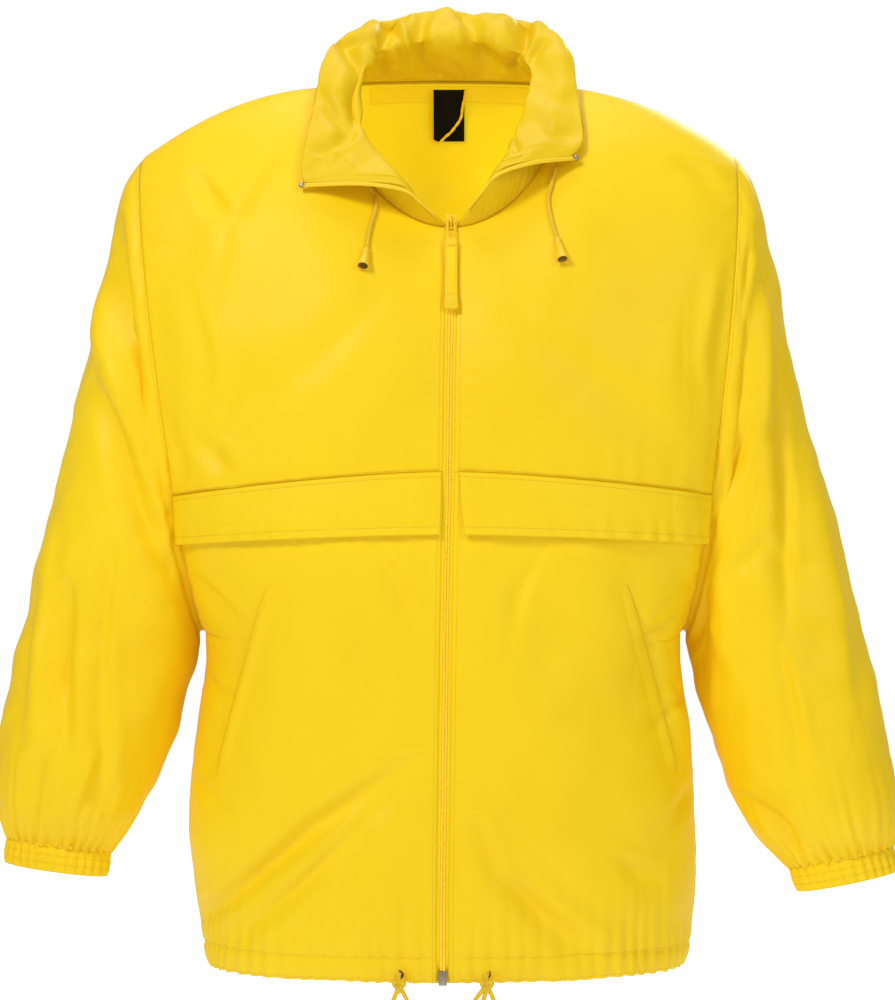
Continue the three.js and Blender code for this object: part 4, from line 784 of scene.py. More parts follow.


# Creases placed one by one: face (-1 front, 1 back), half width, depth, points (x, z)

creases = [
    # right sleeve, front
    (-1, 9, -7, [(-281, -116), (-277, -201), (-256, -252), (-239, -294), (-222, -332)]),
    (-1, 8, -6, [(-294, -260), (-273, -311), (-252, -370), (-235, -408)]),
    (-1, 7, -5, [(-319, -429), (-323, -497), (-318, -564)]),
    (-1, 8, -5, [(-283, -395), (-291, -480), (-290, -606)]),
    (-1, 7, 4, [(-296, -566), (-313, -608)]),
    (-1, 9, 5, [(-300, -150), (-296, -215), (-276, -268)]),
    (-1, 9, 4, [(-337, -380), (-345, -470), (-350, -560)]),
    (-1, 6, -3, [(-350, -420), (-358, -500), (-362, -560)]),
    # left sleeve, front
    (-1, 9, -7, [(256, -137), (243, -183), (235, -226)]),
    (-1, 8, -6, [(257, -150), (240, -209), (230, -252)]),
    (-1, 9, -7, [(255, -294), (242, -323), (225, -353)]),
    (-1, 7, -5, [(286, -226), (289, -336), (286, -459)]),
    (-1, 12, -5, [(242, -412), (267, -391), (293, -416)]),
    (-1, 14, -9, [(218, -429), (214, -463), (220, -501)]),
    (-1, 7, -5, [(281, -480), (292, -531), (298, -582)]),
    (-1, 7, -5, [(253, -605), (279, -626), (300, -652)]),
    (-1, 10, 5, [(272, -180), (270, -260), (262, -330)]),
    (-1, 10, 4, [(318, -360), (332, -440), (340, -540)]),
    # chest and shoulders
    (-1, 8, -3.5, [(-212, -76), (-195, -101), (-179, -122)]),
    (-1, 9, -4, [(-212, -303), (-195, -315), (-178, -336)]),
    (-1, 8, -3.5, [(199, -64), (216, -74), (232, -89)]),
    (-1, 14, 3, [(-150, -60), (-185, -120), (-205, -200)]),
    (-1, 16, -2.5, [(-60, -190), (-110, -240), (-190, -290)]),
    (-1, 16, -2.5, [(60, -200), (120, -250), (195, -300)]),
    (-1, 9, -2, [(-215, -180), (-200, -240), (-206, -300)]),
    (-1, 9, -2, [(215, -170), (205, -230), (212, -290)]),
    # under the flaps
    (-1, 5, -2.5, [(-27, -390), (-17, -396), (-7, -403)]),
    (-1, 8, -3, [(-60, -392), (-40, -420), (-30, -460)]),
    (-1, 8, -3, [(80, -395), (60, -430), (50, -480)]),
    # hem drapes
    (-1, 9, -6, [(-234, -725), (-172, -671), (-114, -621), (-56, -586), (-11, -560)]),
    (-1, 7, -5, [(-172, -716), (-106, -654), (-40, -592)]),
    (-1, 9, 4, [(-200, -712), (-140, -663), (-80, -622)]),
    (-1, 8, -5, [(26, -617), (35, -642), (43, -662), (80, -695), (117, -724)]),
    (-1, 8, -4, [(143, -651), (159, -661), (172, -668)]),
    (-1, 9, 3, [(60, -640), (95, -685), (140, -722)]),
    # side seams and pockets
    (-1, 7, -3.2, [(160, -448), (172, -486), (184, -528), (196, -580), (200, -600)]),
    (-1, 6, -2, [(-163, -455), (-174, -495), (-186, -535), (-198, -585)]),
    (-1, 4, -2.2, [(178, -455), (170, -462), (162, -470)]),
    (-1, 3.5, -2, [(187, -505), (195, -515), (202, -528)]),
    (-1, 6, -3, [(-207, -420), (-190, -438), (-176, -452)]),
    (-1, 6, -3, [(-208, -500), (-195, -512), (-182, -520)]),
    (-1, 6, -3, [(-212, -590), (-196, -600), (-184, -612)]),
    (-1, 6, -3, [(196, -440), (182, -452), (170, -470)]),
    (-1, 6, -3, [(204, -520), (190, -528), (176, -544)]),
    (-1, 7, -3, [(208, -600), (196, -612), (186, -630)]),
    # back
    (1, 12, -6, [(-200, -320), (-150, -370), (-90, -450), (-60, -560)]),
    (1, 10, -5, [(-205, -400), (-150, -470), (-120, -560), (-110, -650)]),
    (1, 12, -6, [(200, -330), (150, -390), (100, -470), (80, -600)]),
    (1, 10, -5, [(205, -420), (160, -500), (140, -600)]),
    (1, 9, 4, [(-120, -380), (-90, -450), (-80, -540)]),
    (1, 9, -4, [(-10, -500), (0, -600), (10, -700)]),
    (1, 12, 4, [(40, -460), (30, -560), (34, -660)]),
    (1, 14, -3, [(-150, -120), (-170, -200), (-180, -280)]),
    (1, 14, -3, [(150, -120), (168, -190), (180, -270)]),
    (1, 12, -3, [(-60, -60), (-20, -90), (40, -70)]),
    # sleeves, back
    (1, 9, -6, [(-275, -150), (-262, -230), (-240, -330)]),
    (1, 9, -6, [(-360, -430), (-310, -480), (-262, -520)]),
    (1, 8, -5, [(-365, -480), (-320, -530), (-275, -560)]),
    (1, 9, -6, [(268, -160), (255, -240), (235, -340)]),
    (1, 9, -6, [(352, -420), (300, -480), (255, -520)]),
    (1, 8, -5, [(360, -480), (315, -535), (262, -570)]),
]


def lineDistance(x, z, points):
    # the distance of places to a line of points, the side it lies on, and how far along
    best = np.full(x.shape, 1e9)
    along = np.zeros(x.shape)
    aside = np.zeros(x.shape)
    lengths = [math.hypot(b[0] - a[0], b[1] - a[1]) for a, b in zip(points, points[1:])]
    before = 0
    for (ax, az), (bx, bz), long in zip(points, points[1:], lengths):
        dx, dz = (bx - ax) / long, (bz - az) / long
        t = np.clip((x - ax) * dx + (z - az) * dz, 0, long)
        d = np.hypot(x - ax - t * dx, z - az - t * dz)
        nearer = d < best
        best = np.where(nearer, d, best)
        along = np.where(nearer, before + t, along)
        aside = np.where(nearer, (x - ax) * dz - (z - az) * dx, aside)
        before += long
    return best, along / before, np.sign(aside)


def creasePush(points, normals):
    x, z = points[..., 0], points[..., 2]
    push = np.zeros(x.shape)
    calm = np.where(points[..., 1] < 0, smooth(np.abs(x), 25, 75), 1)
    for x1, z1, x2, z2, half, depth, face in largeFolds:
        facing = smooth(face * normals[..., 1], 0.05, 0.5)
        long = math.hypot(x2 - x1, z2 - z1)
        along = ((x - x1) * (x2 - x1) + (z - z1) * (z2 - z1)) / long**2
        aside = ((x - x1) * (z2 - z1) - (z - z1) * (x2 - x1)) / long
        taper = np.where(
            (along > -0.1) & (along < 1.1), np.sin(math.pi * np.clip((along + 0.1) / 1.2, 0, 1)), 0
        )
        push += calm * depth * facing * taper * np.exp(-((aside / half) ** 2))
    for face, half, depth, line in creases:
        xs, zs = [p[0] for p in line], [p[1] for p in line]
        reach = 4 * half
        near = (x > min(xs) - reach) & (x < max(xs) + reach) & (z > min(zs) - reach) & (z < max(zs) + reach)
        near &= face * normals[..., 1] > 0.02
        if not near.any():
            continue
        d, along, hand = lineDistance(x[near], z[near], line)
        facing = smooth(face * normals[..., 1][near], 0.02, 0.4)
        taper = np.sin(math.pi * np.clip(0.12 + 0.76 * along, 0, 1))
        width = half * (0.75 + 0.45 * along) * np.where(hand > 0, 1.25, 0.7)
        shape = np.exp(-((d / width) ** 2)) - 0.32 * np.exp(-(((d - 1.9 * width) / (1.1 * width)) ** 2))
        push[near] += depth * facing * taper * shape
    return push


def waves(x, z, seed, size, stretch=(1, 1)):
    # soft uneven waves: a sum of slanted sines with fixed random directions
    own = np.random.default_rng(seed)
    total = np.zeros(np.shape(x))
    for _ in range(9):
        turn = own.uniform(0, math.pi)
        scale = 2 * math.pi / (size * own.uniform(0.7, 1.6))
        phase = own.uniform(0, 6.3)
        bend = 0.7 * np.sin(z * scale * 0.37 + phase * 2)
        total += np.sin(
            (x * stretch[0] * math.cos(turn) + z * stretch[1] * math.sin(turn)) * scale + phase + bend
        )
    return total / 3


def gridNormals(grid, closedRows=False):
    # unit normals of a grid of points; closedRows joins the ends of each row
    if closedRows:
        across = np.roll(grid, -1, 1) - np.roll(grid, 1, 1)
    else:
        across = np.gradient(grid, axis=1)
    normals = np.cross(across, np.gradient(grid, axis=0))
    length = np.linalg.norm(normals, axis=-1, keepdims=True)
    return normals / np.maximum(length, 1e-9)


def outwards(grid, normals, flip):
    return -normals if flip else normals


def arcLengths(grid, axis):
    # running length along rows (1) or columns (0)
    steps = np.linalg.norm(np.diff(grid, axis=axis), axis=-1)
    pad = [(0, 0), (0, 0)]
    pad[axis] = (1, 0)
    return np.cumsum(np.pad(steps, pad), axis=axis)


pieceNotes = {}


def meshFromGrid(name, outer, inner, closedRows, material, insideMaterial):
    # a closed thin shell from an outer and an inner grid; uv in metres runs along rows and columns
    rows, columns = outer.shape[:2]
    points = np.concatenate([outer.reshape(-1, 3), inner.reshape(-1, 3)]) / 1000
    index = np.arange(rows * columns).reshape(rows, columns)
    right1 = np.roll(index, -1, 1) if closedRows else index[:, 1:]
    here = index if closedRows else index[:, :-1]
    a, b, c, d = here[:-1], right1[:-1], right1[1:], here[1:]
    quads = np.stack([a, b, c, d], -1).reshape(-1, 4)
    count = rows * columns
    faces = [quads, quads[:, ::-1] + count]
    rims = []
    for loop, turn in ((index[0], 0), (index[-1], 1)):
        following = np.roll(loop, -1) if closedRows else loop[1:]
        start = loop if closedRows else loop[:-1]
        rim = np.stack([following, start, start + count, following + count], -1)
        rims.append(rim if turn == 0 else rim[:, ::-1])
    if not closedRows:
        for loop, turn in ((index[:, 0], 1), (index[:, -1], 0)):
            rim = np.stack([loop[1:], loop[:-1], loop[:-1] + count, loop[1:] + count], -1)
            rims.append(rim if turn == 0 else rim[:, ::-1])
    faces += rims
    allFaces = np.concatenate(faces)
    mesh = bpy.data.meshes.new(name)
    mesh.vertices.add(len(points))
    mesh.vertices.foreach_set("co", points.ravel())
    mesh.loops.add(allFaces.size)
    mesh.loops.foreach_set("vertex_index", allFaces.ravel())
    mesh.polygons.add(len(allFaces))
    mesh.polygons.foreach_set("loop_start", np.arange(0, allFaces.size, 4))
    mesh.materials.append(material)
    mesh.materials.append(insideMaterial)
    kinds = np.zeros(len(allFaces), int)
    kinds[len(quads) : 2 * len(quads)] = 1
    mesh.polygons.foreach_set("material_index", kinds)
    mesh.polygons.foreach_set("use_smooth", np.ones(len(allFaces), bool))
    mesh.update(calc_edges=True)
    mesh.validate()
    test = bmesh.new()
    test.from_mesh(mesh)
    bmesh.ops.recalc_face_normals(test, faces=test.faces)
    if test.calc_volume(signed=True) < 0:
        bmesh.ops.reverse_faces(test, faces=test.faces)
    test.to_mesh(mesh)
    test.free()
    piece = bpy.data.objects.new(name, mesh)
    sceneObjects.link(piece)
    return piece


clothSet = dict(thick=1.1, seamDip=0.55, seamReach=2.6, rim=0.05)


def clothPiece(
    name, node, grid, flip, closedRows=False, extra=None, dips="lrtb", front=None,
    backing=None
):
    # a panel of cloth: base grid, folds, seams dipped at its edges, and a shell round it
    normals = outwards(grid, gridNormals(grid, closedRows), flip)
    push = creasePush(grid, normals)
    across = arcLengths(grid, 1)
    along = arcLengths(grid, 0)
    edges = {
        "l": across,
        "r": across[:, -1:] - across,
        "b": along,
        "t": along[-1:] - along,
    }
    seam = np.full(grid.shape[:2], 1e9)
    for key in dips:
        if closedRows and key in "lr":
            continue
        seam = np.minimum(seam, edges[key])
    push *= smooth(seam, 0, 26)
    push += -clothSet["seamDip"] * np.exp(-((seam / clothSet["seamReach"]) ** 2))
    if extra is not None:
        push += extra(grid, normals, across, along, seam)
    moved = grid + normals * push[..., None]
    fresh = outwards(moved, gridNormals(moved, closedRows), flip)
    half = clothSet["thick"] / 2
    core = moved.copy()
    if not closedRows:
        for edge, near in ((0, 1), (-1, -2)):
            run = core[:, near] - core[:, edge]
            core[:, edge] += run / np.maximum(
                np.linalg.norm(run, axis=-1, keepdims=True), 1e-6
            ) * clothSet["rim"]
    for edge, near in ((0, 1), (-1, -2)):
        run = core[near] - core[edge]
        core[edge] += run / np.maximum(np.linalg.norm(run, axis=-1, keepdims=True), 1e-6) * clothSet["rim"]
    piece = meshFromGrid(
        name, core + fresh * half, core - fresh * half, closedRows, front or nylon, backing or nylonInsidePaintedGlow
    )
    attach(piece, "garment")
    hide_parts(node)
    pieceNotes[name] = dict(grid=moved, normals=fresh, across=across, along=along)
    return piece


# Small gathers and puckers

gatherSet = dict(hemPitch=14.0, hemReach=70.0, hemDepth=2.1, zipPitch=13.0, zipReach=26.0, zipDepth=1.3)


def gatherAlong(run, distance, pitch, reach, depth, seed):
    # waves across a gathered edge: run is the way along it, distance the way up from it
    phase = run / pitch * 2 * math.pi + 1.3 * np.sin(run / pitch * 0.61 + seed) + 0.8 * np.sin(
        run / pitch * 1.7 + 2 * seed
    )
    lengths = reach * (0.55 + 0.45 * np.sin(run / pitch * 1.13 + seed * 3) ** 2)
    fade = np.exp(-np.maximum(distance, 0) / (lengths * 0.45))
    uneven = 0.4 + 0.6 * np.sin(run / pitch * 0.27 + seed * 1.3) ** 2
    return depth * uneven * fade * np.sin(phase)


def frontExtra(side, upper):
    seed = 3.1 if side["sign"] < 0 else 5.7

    def extra(grid, normals, across, along, seam):
        x, z = grid[..., 0], grid[..., 2]
        large, small = (0.7, 0.14) if upper else (1.8, 0.42)
        push = large * waves(x, z, 11 + side["sign"], 110) * smooth(seam, 4, 60)
        push += small * waves(x, z, 21 + side["sign"], 34, (1, 0.7)) * smooth(seam, 4, 40)
        beside = across
        lines = gatherAlong(
            z, beside, gatherSet["zipPitch"], gatherSet["zipReach"], gatherSet["zipDepth"], seed
        )
        push += lines * smooth(beside, 5, 11)
        if not upper:
            up = z - bodySet["bandZ"]
            band = np.where(up < 0, 1.0, 0)
            run = across
            above = gatherAlong(
                run, up, gatherSet["hemPitch"], gatherSet["hemReach"], gatherSet["hemDepth"], seed
            )
            push += np.where(up >= 0, above, above * 0.8) * smooth(beside, 6, 16)
            push += band * 1.6 * np.sin(
                math.pi * np.clip((z - bodySet["hemZ"]) / 21, 0, 1)
            ) - 1.2 * np.exp(-((up / 2.2) ** 2))
            below = np.maximum(bodySet["chestZ"] - z, 0)
            push += gatherAlong(across, below, 26, 60, 0.6, seed + 1)
        else:
            below = np.maximum(z - bodySet["chestZ"], 0)
            push += gatherAlong(across, below, 24, 50, 0.6, seed + 2)
        sideEdge = across[:, -1:] - across
        push += gatherAlong(z, sideEdge, 22, 30, 1.3, seed + 4) * smooth(sideEdge, 1.5, 6)
        return push

    return extra


def backExtra(grid, normals, across, along, seam):
    x, z = grid[..., 0], grid[..., 2]
    push = 1.0 * waves(x, z, 31, 100) * smooth(seam, 4, 60)
    push += 0.45 * waves(x, z, 32, 36, (1, 0.7)) * smooth(seam, 4, 40)
    up = z - bodySet["bandZ"]
    above = gatherAlong(across, up, gatherSet["hemPitch"], gatherSet["hemReach"], gatherSet["hemDepth"], 1.7)
    push += np.where(up >= 0, above, above * 0.8) * smooth(seam, 0, 6)
    push += np.where(up < 0, 1.6, 0) * np.sin(math.pi * np.clip((z - bodySet["hemZ"]) / 21, 0, 1))
    push -= 1.2 * np.exp(-((up / 2.2) ** 2))
    for edge in (across, across[:, -1:] - across):
        push += gatherAlong(z, edge, 22, 30, 1.3, 2.9) * smooth(edge, 1.5, 6)
    return push


# the collar's folds as the front view shows them, on the plane y = 0: half width, depth, points (x, z)
collarCreases = [
    (7, -7, [(-49, 78), (-51, 64), (-54, 45), (-56, 20)]),
    (5, -6, [(-49, 69), (-44, 50), (-35, 29)]),
    (8, -7, [(-17, 69), (-21, 62), (-25, 48), (-21, 32), (-11, 15)]),
    (9, -7, [(18, 64), (20, 60), (24, 43), (41, 19)]),
    (6, -7, [(67, 76), (68, 54), (66, 40), (56, 26)]),
    (4, -4, [(72, 29), (76, 36), (84, 41)]),
    (4, -5, [(-91, 44), (-78, 44), (-67, 42), (-61, 36)]),
    (5, -4, [(-89, 40), (-81, 29), (-74, 17)]),
    (5, -4, [(-74, 22), (-75, 2), (-79, -17), (-81, -36)]),
    (5, -3.5, [(-112, 2), (-99, -17), (-84, -38)]),
    (4, -3, [(-84, -40), (-101, -49), (-112, -52)]),
    (4, -2.5, [(-91, -55), (-92, -68)]),
    (4, -3, [(80, -24), (91, -33), (106, -36)]),
    (4, -3, [(55, -42), (62, -50), (59, -59)]),
    (6, -6, [(-38, 82), (-38, 70), (-38, 58)]),
    (14, 1, [(-7, 67), (3, 54), (2, 35)]),
    (10, 3.5, [(43, 66), (49, 50), (52, 36)]),
    (11, 3.5, [(90, 45), (97, 28), (99, 7)]),
    (11, 3.5, [(-97, 28), (-95, 7), (-93, -16)]),
    (8, 4, [(-64, 62), (-64, 48), (-66, 31)]),
    (7, 2.5, [(-104, -30), (-98, -52), (-84, -66)]),
    (8, 2.5, [(75, -8), (84, -18), (100, -22)]),
]
collarSet = dict(
    deepen=1.25, eye=3000, height=-353, largeWave=1.3, smallWave=0.8, gatherPitch=8.0, gatherReach=26.0,
    gatherDepth=1.5
)


def collarExtra(grid, normals, across, along, seam):
    # seen from the front, so each place is first put on the plane y = 0
    size = collarSet
    near = size["eye"] / (size["eye"] + grid[..., 1])
    x = grid[..., 0] * near
    z = size["height"] + (grid[..., 2] - size["height"]) * near
    turn = np.degrees(np.arctan2(grid[..., 0], grid[..., 1] + 20))
    # on the wings the two layers lie close, so the hidden one moves with the one that shows
    wing = smooth(np.abs(turn), 70, 110)
    facing = smooth(-normals[..., 1], mix(-0.45, 0.05, wing), 0.3) - wing * smooth(normals[..., 1], 0.05, 0.3)
    push = np.zeros(x.shape)
    for half, depth, line in collarCreases:
        d, way, hand = lineDistance(x, z, line)
        taper = np.sin(math.pi * np.clip(0.14 + 0.72 * way, 0, 1))
        width = half * np.where(hand > 0, 1.2, 0.75)
        push += size["deepen"] * depth * facing * taper * (
            np.exp(-((d / width) ** 2)) - 0.25 * np.exp(-(((d - 2 * width) / (1.1 * width)) ** 2))
        )
    rolling = size["largeWave"] * waves(
        turn * 1.5, across, 71, 62
    ) + size["smallWave"] * waves(turn * 1.5, across, 72, 24)
    push += rolling * (1 - 0.9 * wing)
    push += wing * facing * 1.3 * waves(x, z, 73, 40)
    fromFoot, fromInside = across, across[:, -1:] - across
    for distance in (fromFoot, fromInside):
        push += gatherAlong(
            turn * 1.5, distance, size["gatherPitch"], size["gatherReach"], size["gatherDepth"], 3.3
        )
    ends = np.minimum(along, along[-1:] - along)
    return push * smooth(np.minimum(fromFoot, fromInside), 0, 9) * smooth(ends, 0, 16)


cuffSet = dict(ribs=30, reach=75.0, depth=3.2, bandDepth=1.3, length=21)


def sleeveExtra(side):
    seed = 2.3 if side["sign"] < 0 else 4.9

    def extra(grid, normals, across, along, seam):
        around = grid.shape[1]
        turn = np.arange(around)[None, :] / around
        down = along[-1:] - along
        push = 1.1 * waves(
            grid[..., 0] + grid[..., 1], grid[..., 2], 41 + side["sign"], 80
        ) * smooth(seam, 4, 60)
        push += 0.5 * waves(
            grid[..., 0] - grid[..., 1], grid[..., 2], 43 + side["sign"], 32
        ) * smooth(seam, 4, 40)
        phase = 2 * math.pi * cuffSet["ribs"] * turn + 1.2 * np.sin(2 * math.pi * 5 * turn + seed)
        lengths = cuffSet["reach"] * (0.45 + 0.55 * np.sin(2 * math.pi * 7 * turn + seed) ** 2)
        push += cuffSet["depth"] * np.sin(phase) * np.exp(-down / (lengths * 0.5)) * (
            0.75 + 0.25 * np.sin(2 * math.pi * 11 * turn)
        )
        top = along
        push += gatherAlong(turn * 520, top, 19, 42, 1.2, seed) * smooth(top, 1, 5)
        return push

    return extra


def cuffExtra(grid, normals, across, along, seam):
    around = grid.shape[1]
    turn = np.arange(around)[None, :] / around
    down = along / along[-1:]
    ribs = np.sin(2 * math.pi * cuffSet["ribs"] * turn + 0.6 * np.sin(2 * math.pi * 6 * turn))
    lines = -0.5 * (np.exp(-(((down - 0.36) / 0.05) ** 2)) + np.exp(-(((down - 0.68) / 0.05) ** 2)))
    return cuffSet["bandDepth"] * ribs * (0.7 + 0.3 * np.cos(7 * turn)) + lines + 1.2 * np.sin(math.pi * down)


# Cloth panels

for side in sides:
    name = side["name"]
    flipFront = side["sign"] < 0
    clothPiece(
        "front_upper_cloth_" + name, "front_upper_" + name, upperFront(side), flipFront,
        extra=frontExtra(side, True)
    )
    clothPiece(
        "front_lower_cloth_" + name, "front_lower_" + name, lowerFront(side), flipFront,
        extra=frontExtra(side, False), dips="lrt"
    )
    ats = np.concatenate([np.linspace(0, 1, 12)[:-1], np.linspace(1, 11, 112)[:-1], np.linspace(11, 13, 34)])
    clothPiece(
        "sleeve_cloth_" + name, "sleeve_" + name, sleeveGrid(side, ats, 210), flipFront,
        closedRows=True, extra=sleeveExtra(side)
    )
    last = sleeveGrid(side, [13.0], 240)[0]
    steps = np.linspace(0, 1, 18)
    cuff = last[None] + stack(
        side["sign"] * side["cuffDrop"][0], side["cuffDrop"][1], side["cuffDrop"][2]
    ) * steps[:, None, None]
    clothPiece(
        "cuff_band_" + name, "cuff_" + name, cuff, flipFront, closedRows=True,
        extra=cuffExtra, dips="t"
    )
clothPiece("back_cloth", "back", backPanel(), True, extra=backExtra, dips="lrt")
clothPiece(
    "collar_cloth", "collar", collarGrid(), False, extra=collarExtra,
    dips="", front=nylonDoubleShaded, backing=nylonDoubleShaded
)
print("cloth made")


# Chest flaps: the top rows of the lower front, moved out and free at the lower edge

flapSet = dict(
    rows=[11, 12, 13],
    lift=[5, 3.2, 1.4],
    rightInset=[1, 1, 1],
    leftInset=[9, 6, 4],
    sideInset=2,
    puckerPitch=17.0,
    puckerDepth=0.8,
)


def flapGrid(side, rows=34, columns=150):
    size = flapSet
    s = np.linspace(size["rows"][0], size["rows"][-1], rows + 1)
    edge, z, opened = bodyRows(side, -1, s)
    base = sectionPoints(frontEdge(side, z), edge, spacing(columns) * math.pi / 2, opened)
    normals = outwards(base, gridNormals(base), side["sign"] < 0)
    lifted = base + normals * np.interp(s, size["rows"], size["lift"])[:, None, None]
    inset = np.interp(s, size["rows"], size[side["name"] + "Inset"])
    run = arcLengths(lifted, 1)
    grid = np.zeros(lifted.shape)
    for i, row in enumerate(lifted):
        places = np.linspace(inset[i], run[i, -1] - size["sideInset"], columns + 1)
        for axis in range(3):
            grid[i, :, axis] = np.interp(places, run[i], row[:, axis])
    return grid


def flapExtra(side):
    seed = 1.9 if side["sign"] < 0 else 4.1

    def extra(grid, normals, across, along, seam):
        down = along[-1:] - along
        free = smooth(down, 4, 46)
        push = flapSet["puckerDepth"] * gatherAlong(across, along, flapSet["puckerPitch"], 60, 1, seed) * free
        push += 0.9 * free * waves(grid[..., 0], grid[..., 2], 61 + side["sign"], 70)
        # the turned hem of the flap stands a little proud above its stitching
        push += 0.3 * smooth(6 - along, 0, 1.6) - 0.15 * np.exp(-(((along - 6.6) / 1.1) ** 2))
        push -= 0.3 * np.exp(-(((down - 4) / 1.1) ** 2))
        return push + 0.25

    return extra


for side in sides:
    name = side["name"]
    clothPiece(
        "chest_flap_cloth_" + name,
        "chest_flap_" + name,
        flapGrid(side),
        side["sign"] < 0,
        extra=flapExtra(side),
        dips="lr",
    )


# Finding the cloth's surface: a ray from outside or from inside

surfaceTrees = {}


def surfaceAt(pieceName, x, z, fromInside=False):
    if pieceName not in surfaceTrees:
        mesh = bpy.data.objects[pieceName].data
        corners = [tuple(v.co) for v in mesh.vertices]
        surfaceTrees[pieceName] = BVHTree.FromPolygons(corners, [tuple(p.vertices) for p in mesh.polygons])
    behind = pieceName.startswith("back")
    towards = -1 if behind != fromInside else 1
    start = (x / 1000, -towards * 0.4 if not fromInside else 0, z / 1000)
    place, normal, _, _ = surfaceTrees[pieceName].ray_cast(start, (0, towards, 0))
    if place is None:
        return None
    return np.array(place) * 1000, np.array(normal) * (-1 if normal[1] * towards > 0 else 1)


def strip(
    name, node, grid, thick, materials, body="garment",
    flip=False
):
    # a narrow sewn strip: a closed thin shell round a grid of centre points
    normals = outwards(grid, gridNormals(grid), flip)
    piece = meshFromGrid(
        name, grid + normals * thick / 2, grid - normals * thick / 2, False, materials[0], materials[-1]
    )
    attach(piece, body)
    if node is not None:
        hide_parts(node)
    pieceNotes[name] = dict(
        grid=grid, normals=normals, across=arcLengths(grid, 1), along=arcLengths(grid, 0), half=thick / 2
    )
    return piece


# Pocket mouths: a slim folded edge along a slanted line, flush on its inner side

pocketSet = dict(topX=145, topZ=-404, footX=196, footZ=-590, width=13, thick=1.0, sunk=-1.9, outerLift=1.5)


def pocketGrid(side, rows=90, columns=10):
    size = pocketSet
    grid = np.zeros((rows + 1, columns + 1, 3))
    for i, t in enumerate(np.linspace(0, 1, rows + 1)):
        for j, share in enumerate(np.linspace(1, 0, columns + 1)):
            x = side["sign"] * (mix(size["topX"], size["footX"], t) - size["width"] * share)
            place, normal = surfaceAt(
                "front_lower_cloth_" + side["name"], x, mix(size["topZ"], size["footZ"], t)
            )
            # the inner side and the ends run into the cloth, so only the outer edge stands free
            ends = smooth(t, 0, 0.3) * smooth(1 - t, 0, 0.12)
            grid[i, j] = place + normal * (
                size["thick"] / 2 + mix(size["sunk"], size["outerLift"], smooth(1 - share, 0.1, 0.9) * ends)
            )
    # even out the facets of the cloth below
    for _ in range(3):
        grid[1:-1] = (grid[:-2] + 2 * grid[1:-1] + grid[2:]) / 4
    return grid


for side in sides:
    strip(
        "pocket_edge_" + side["name"],
        "pocket_welt_" + side["name"],
        pocketGrid(side),
        pocketSet["thick"],
        [nylonSmall],
        flip=side["sign"] > 0,
    )


# Zip: tapes, teeth, box, slider and pull

zipSet = dict(
    foot=-741.5,
    tapeFoot=-753,
    top=-126.7,
    reach=11.5,
    back=-2.1,
    tapeThick=0.9,
    coilMiddle=1.1,
    toothPitch=1.5,
    toothWide=2.5,
    toothHigh=2.4,
    toothLong=1.25,
)


def zipMiddle(z):
    # midline of the two front edges, and the way out from it
    z = np.asarray(z, float)
    row = readTable(frontCentre, "z", np.maximum(z, bodySet["bandZ"]))
    low = np.clip((bodySet["bandZ"] - z) / (bodySet["bandZ"] - bodySet["hemZ"]), 0, 1)
    middle = stack(row["zipX"] * (1 - 0.025 * low), row["y"] * (1 - 0.04 * low), z)
    along = unit(np.gradient(middle, axis=0))
    return middle, unit(stack(0, -along[:, 2], along[:, 1]))


zipHeights = np.linspace(zipSet["foot"], zipSet["top"], 260)
zipLine, zipOut = zipMiddle(zipHeights)
tapeHeights = np.concatenate([np.linspace(zipSet["tapeFoot"], zipSet["foot"], 7)[:-1], zipHeights])
tapeLine, tapeOut = zipMiddle(tapeHeights)
for side in sides:
    sign = side["sign"]
    shares = np.array([-0.3, 0.8, 1.6, 2.1, 2.6, 3.4, 4.3, 4.9, 5.6, 7, 9, zipSet["reach"]])
    across = sign * shares[None, :, None] * vec(1, 0, 0)
    # flush with the cloth beside the teeth, and flat behind the box
    raised = np.interp(shares, [2.0, 2.6, 4.3, 4.9, 5.6], [0, 1.7, 1.75, 0.9, 0])
    above = smooth(tapeHeights, zipSet["foot"] - 1, zipSet["foot"] + 3)
    lift = zipSet["back"] - 0.5 * (1 - above[:, None]) + raised[None] * above[:, None]
    grid = tapeLine[:, None] + across + tapeOut[:, None] * lift[..., None]
    strip(
        "zip_tape_woven_" + side["name"],
        "zip_tape_" + side["name"],
        grid,
        zipSet["tapeThick"],
        [nylonSmall],
        flip=sign < 0,
    )


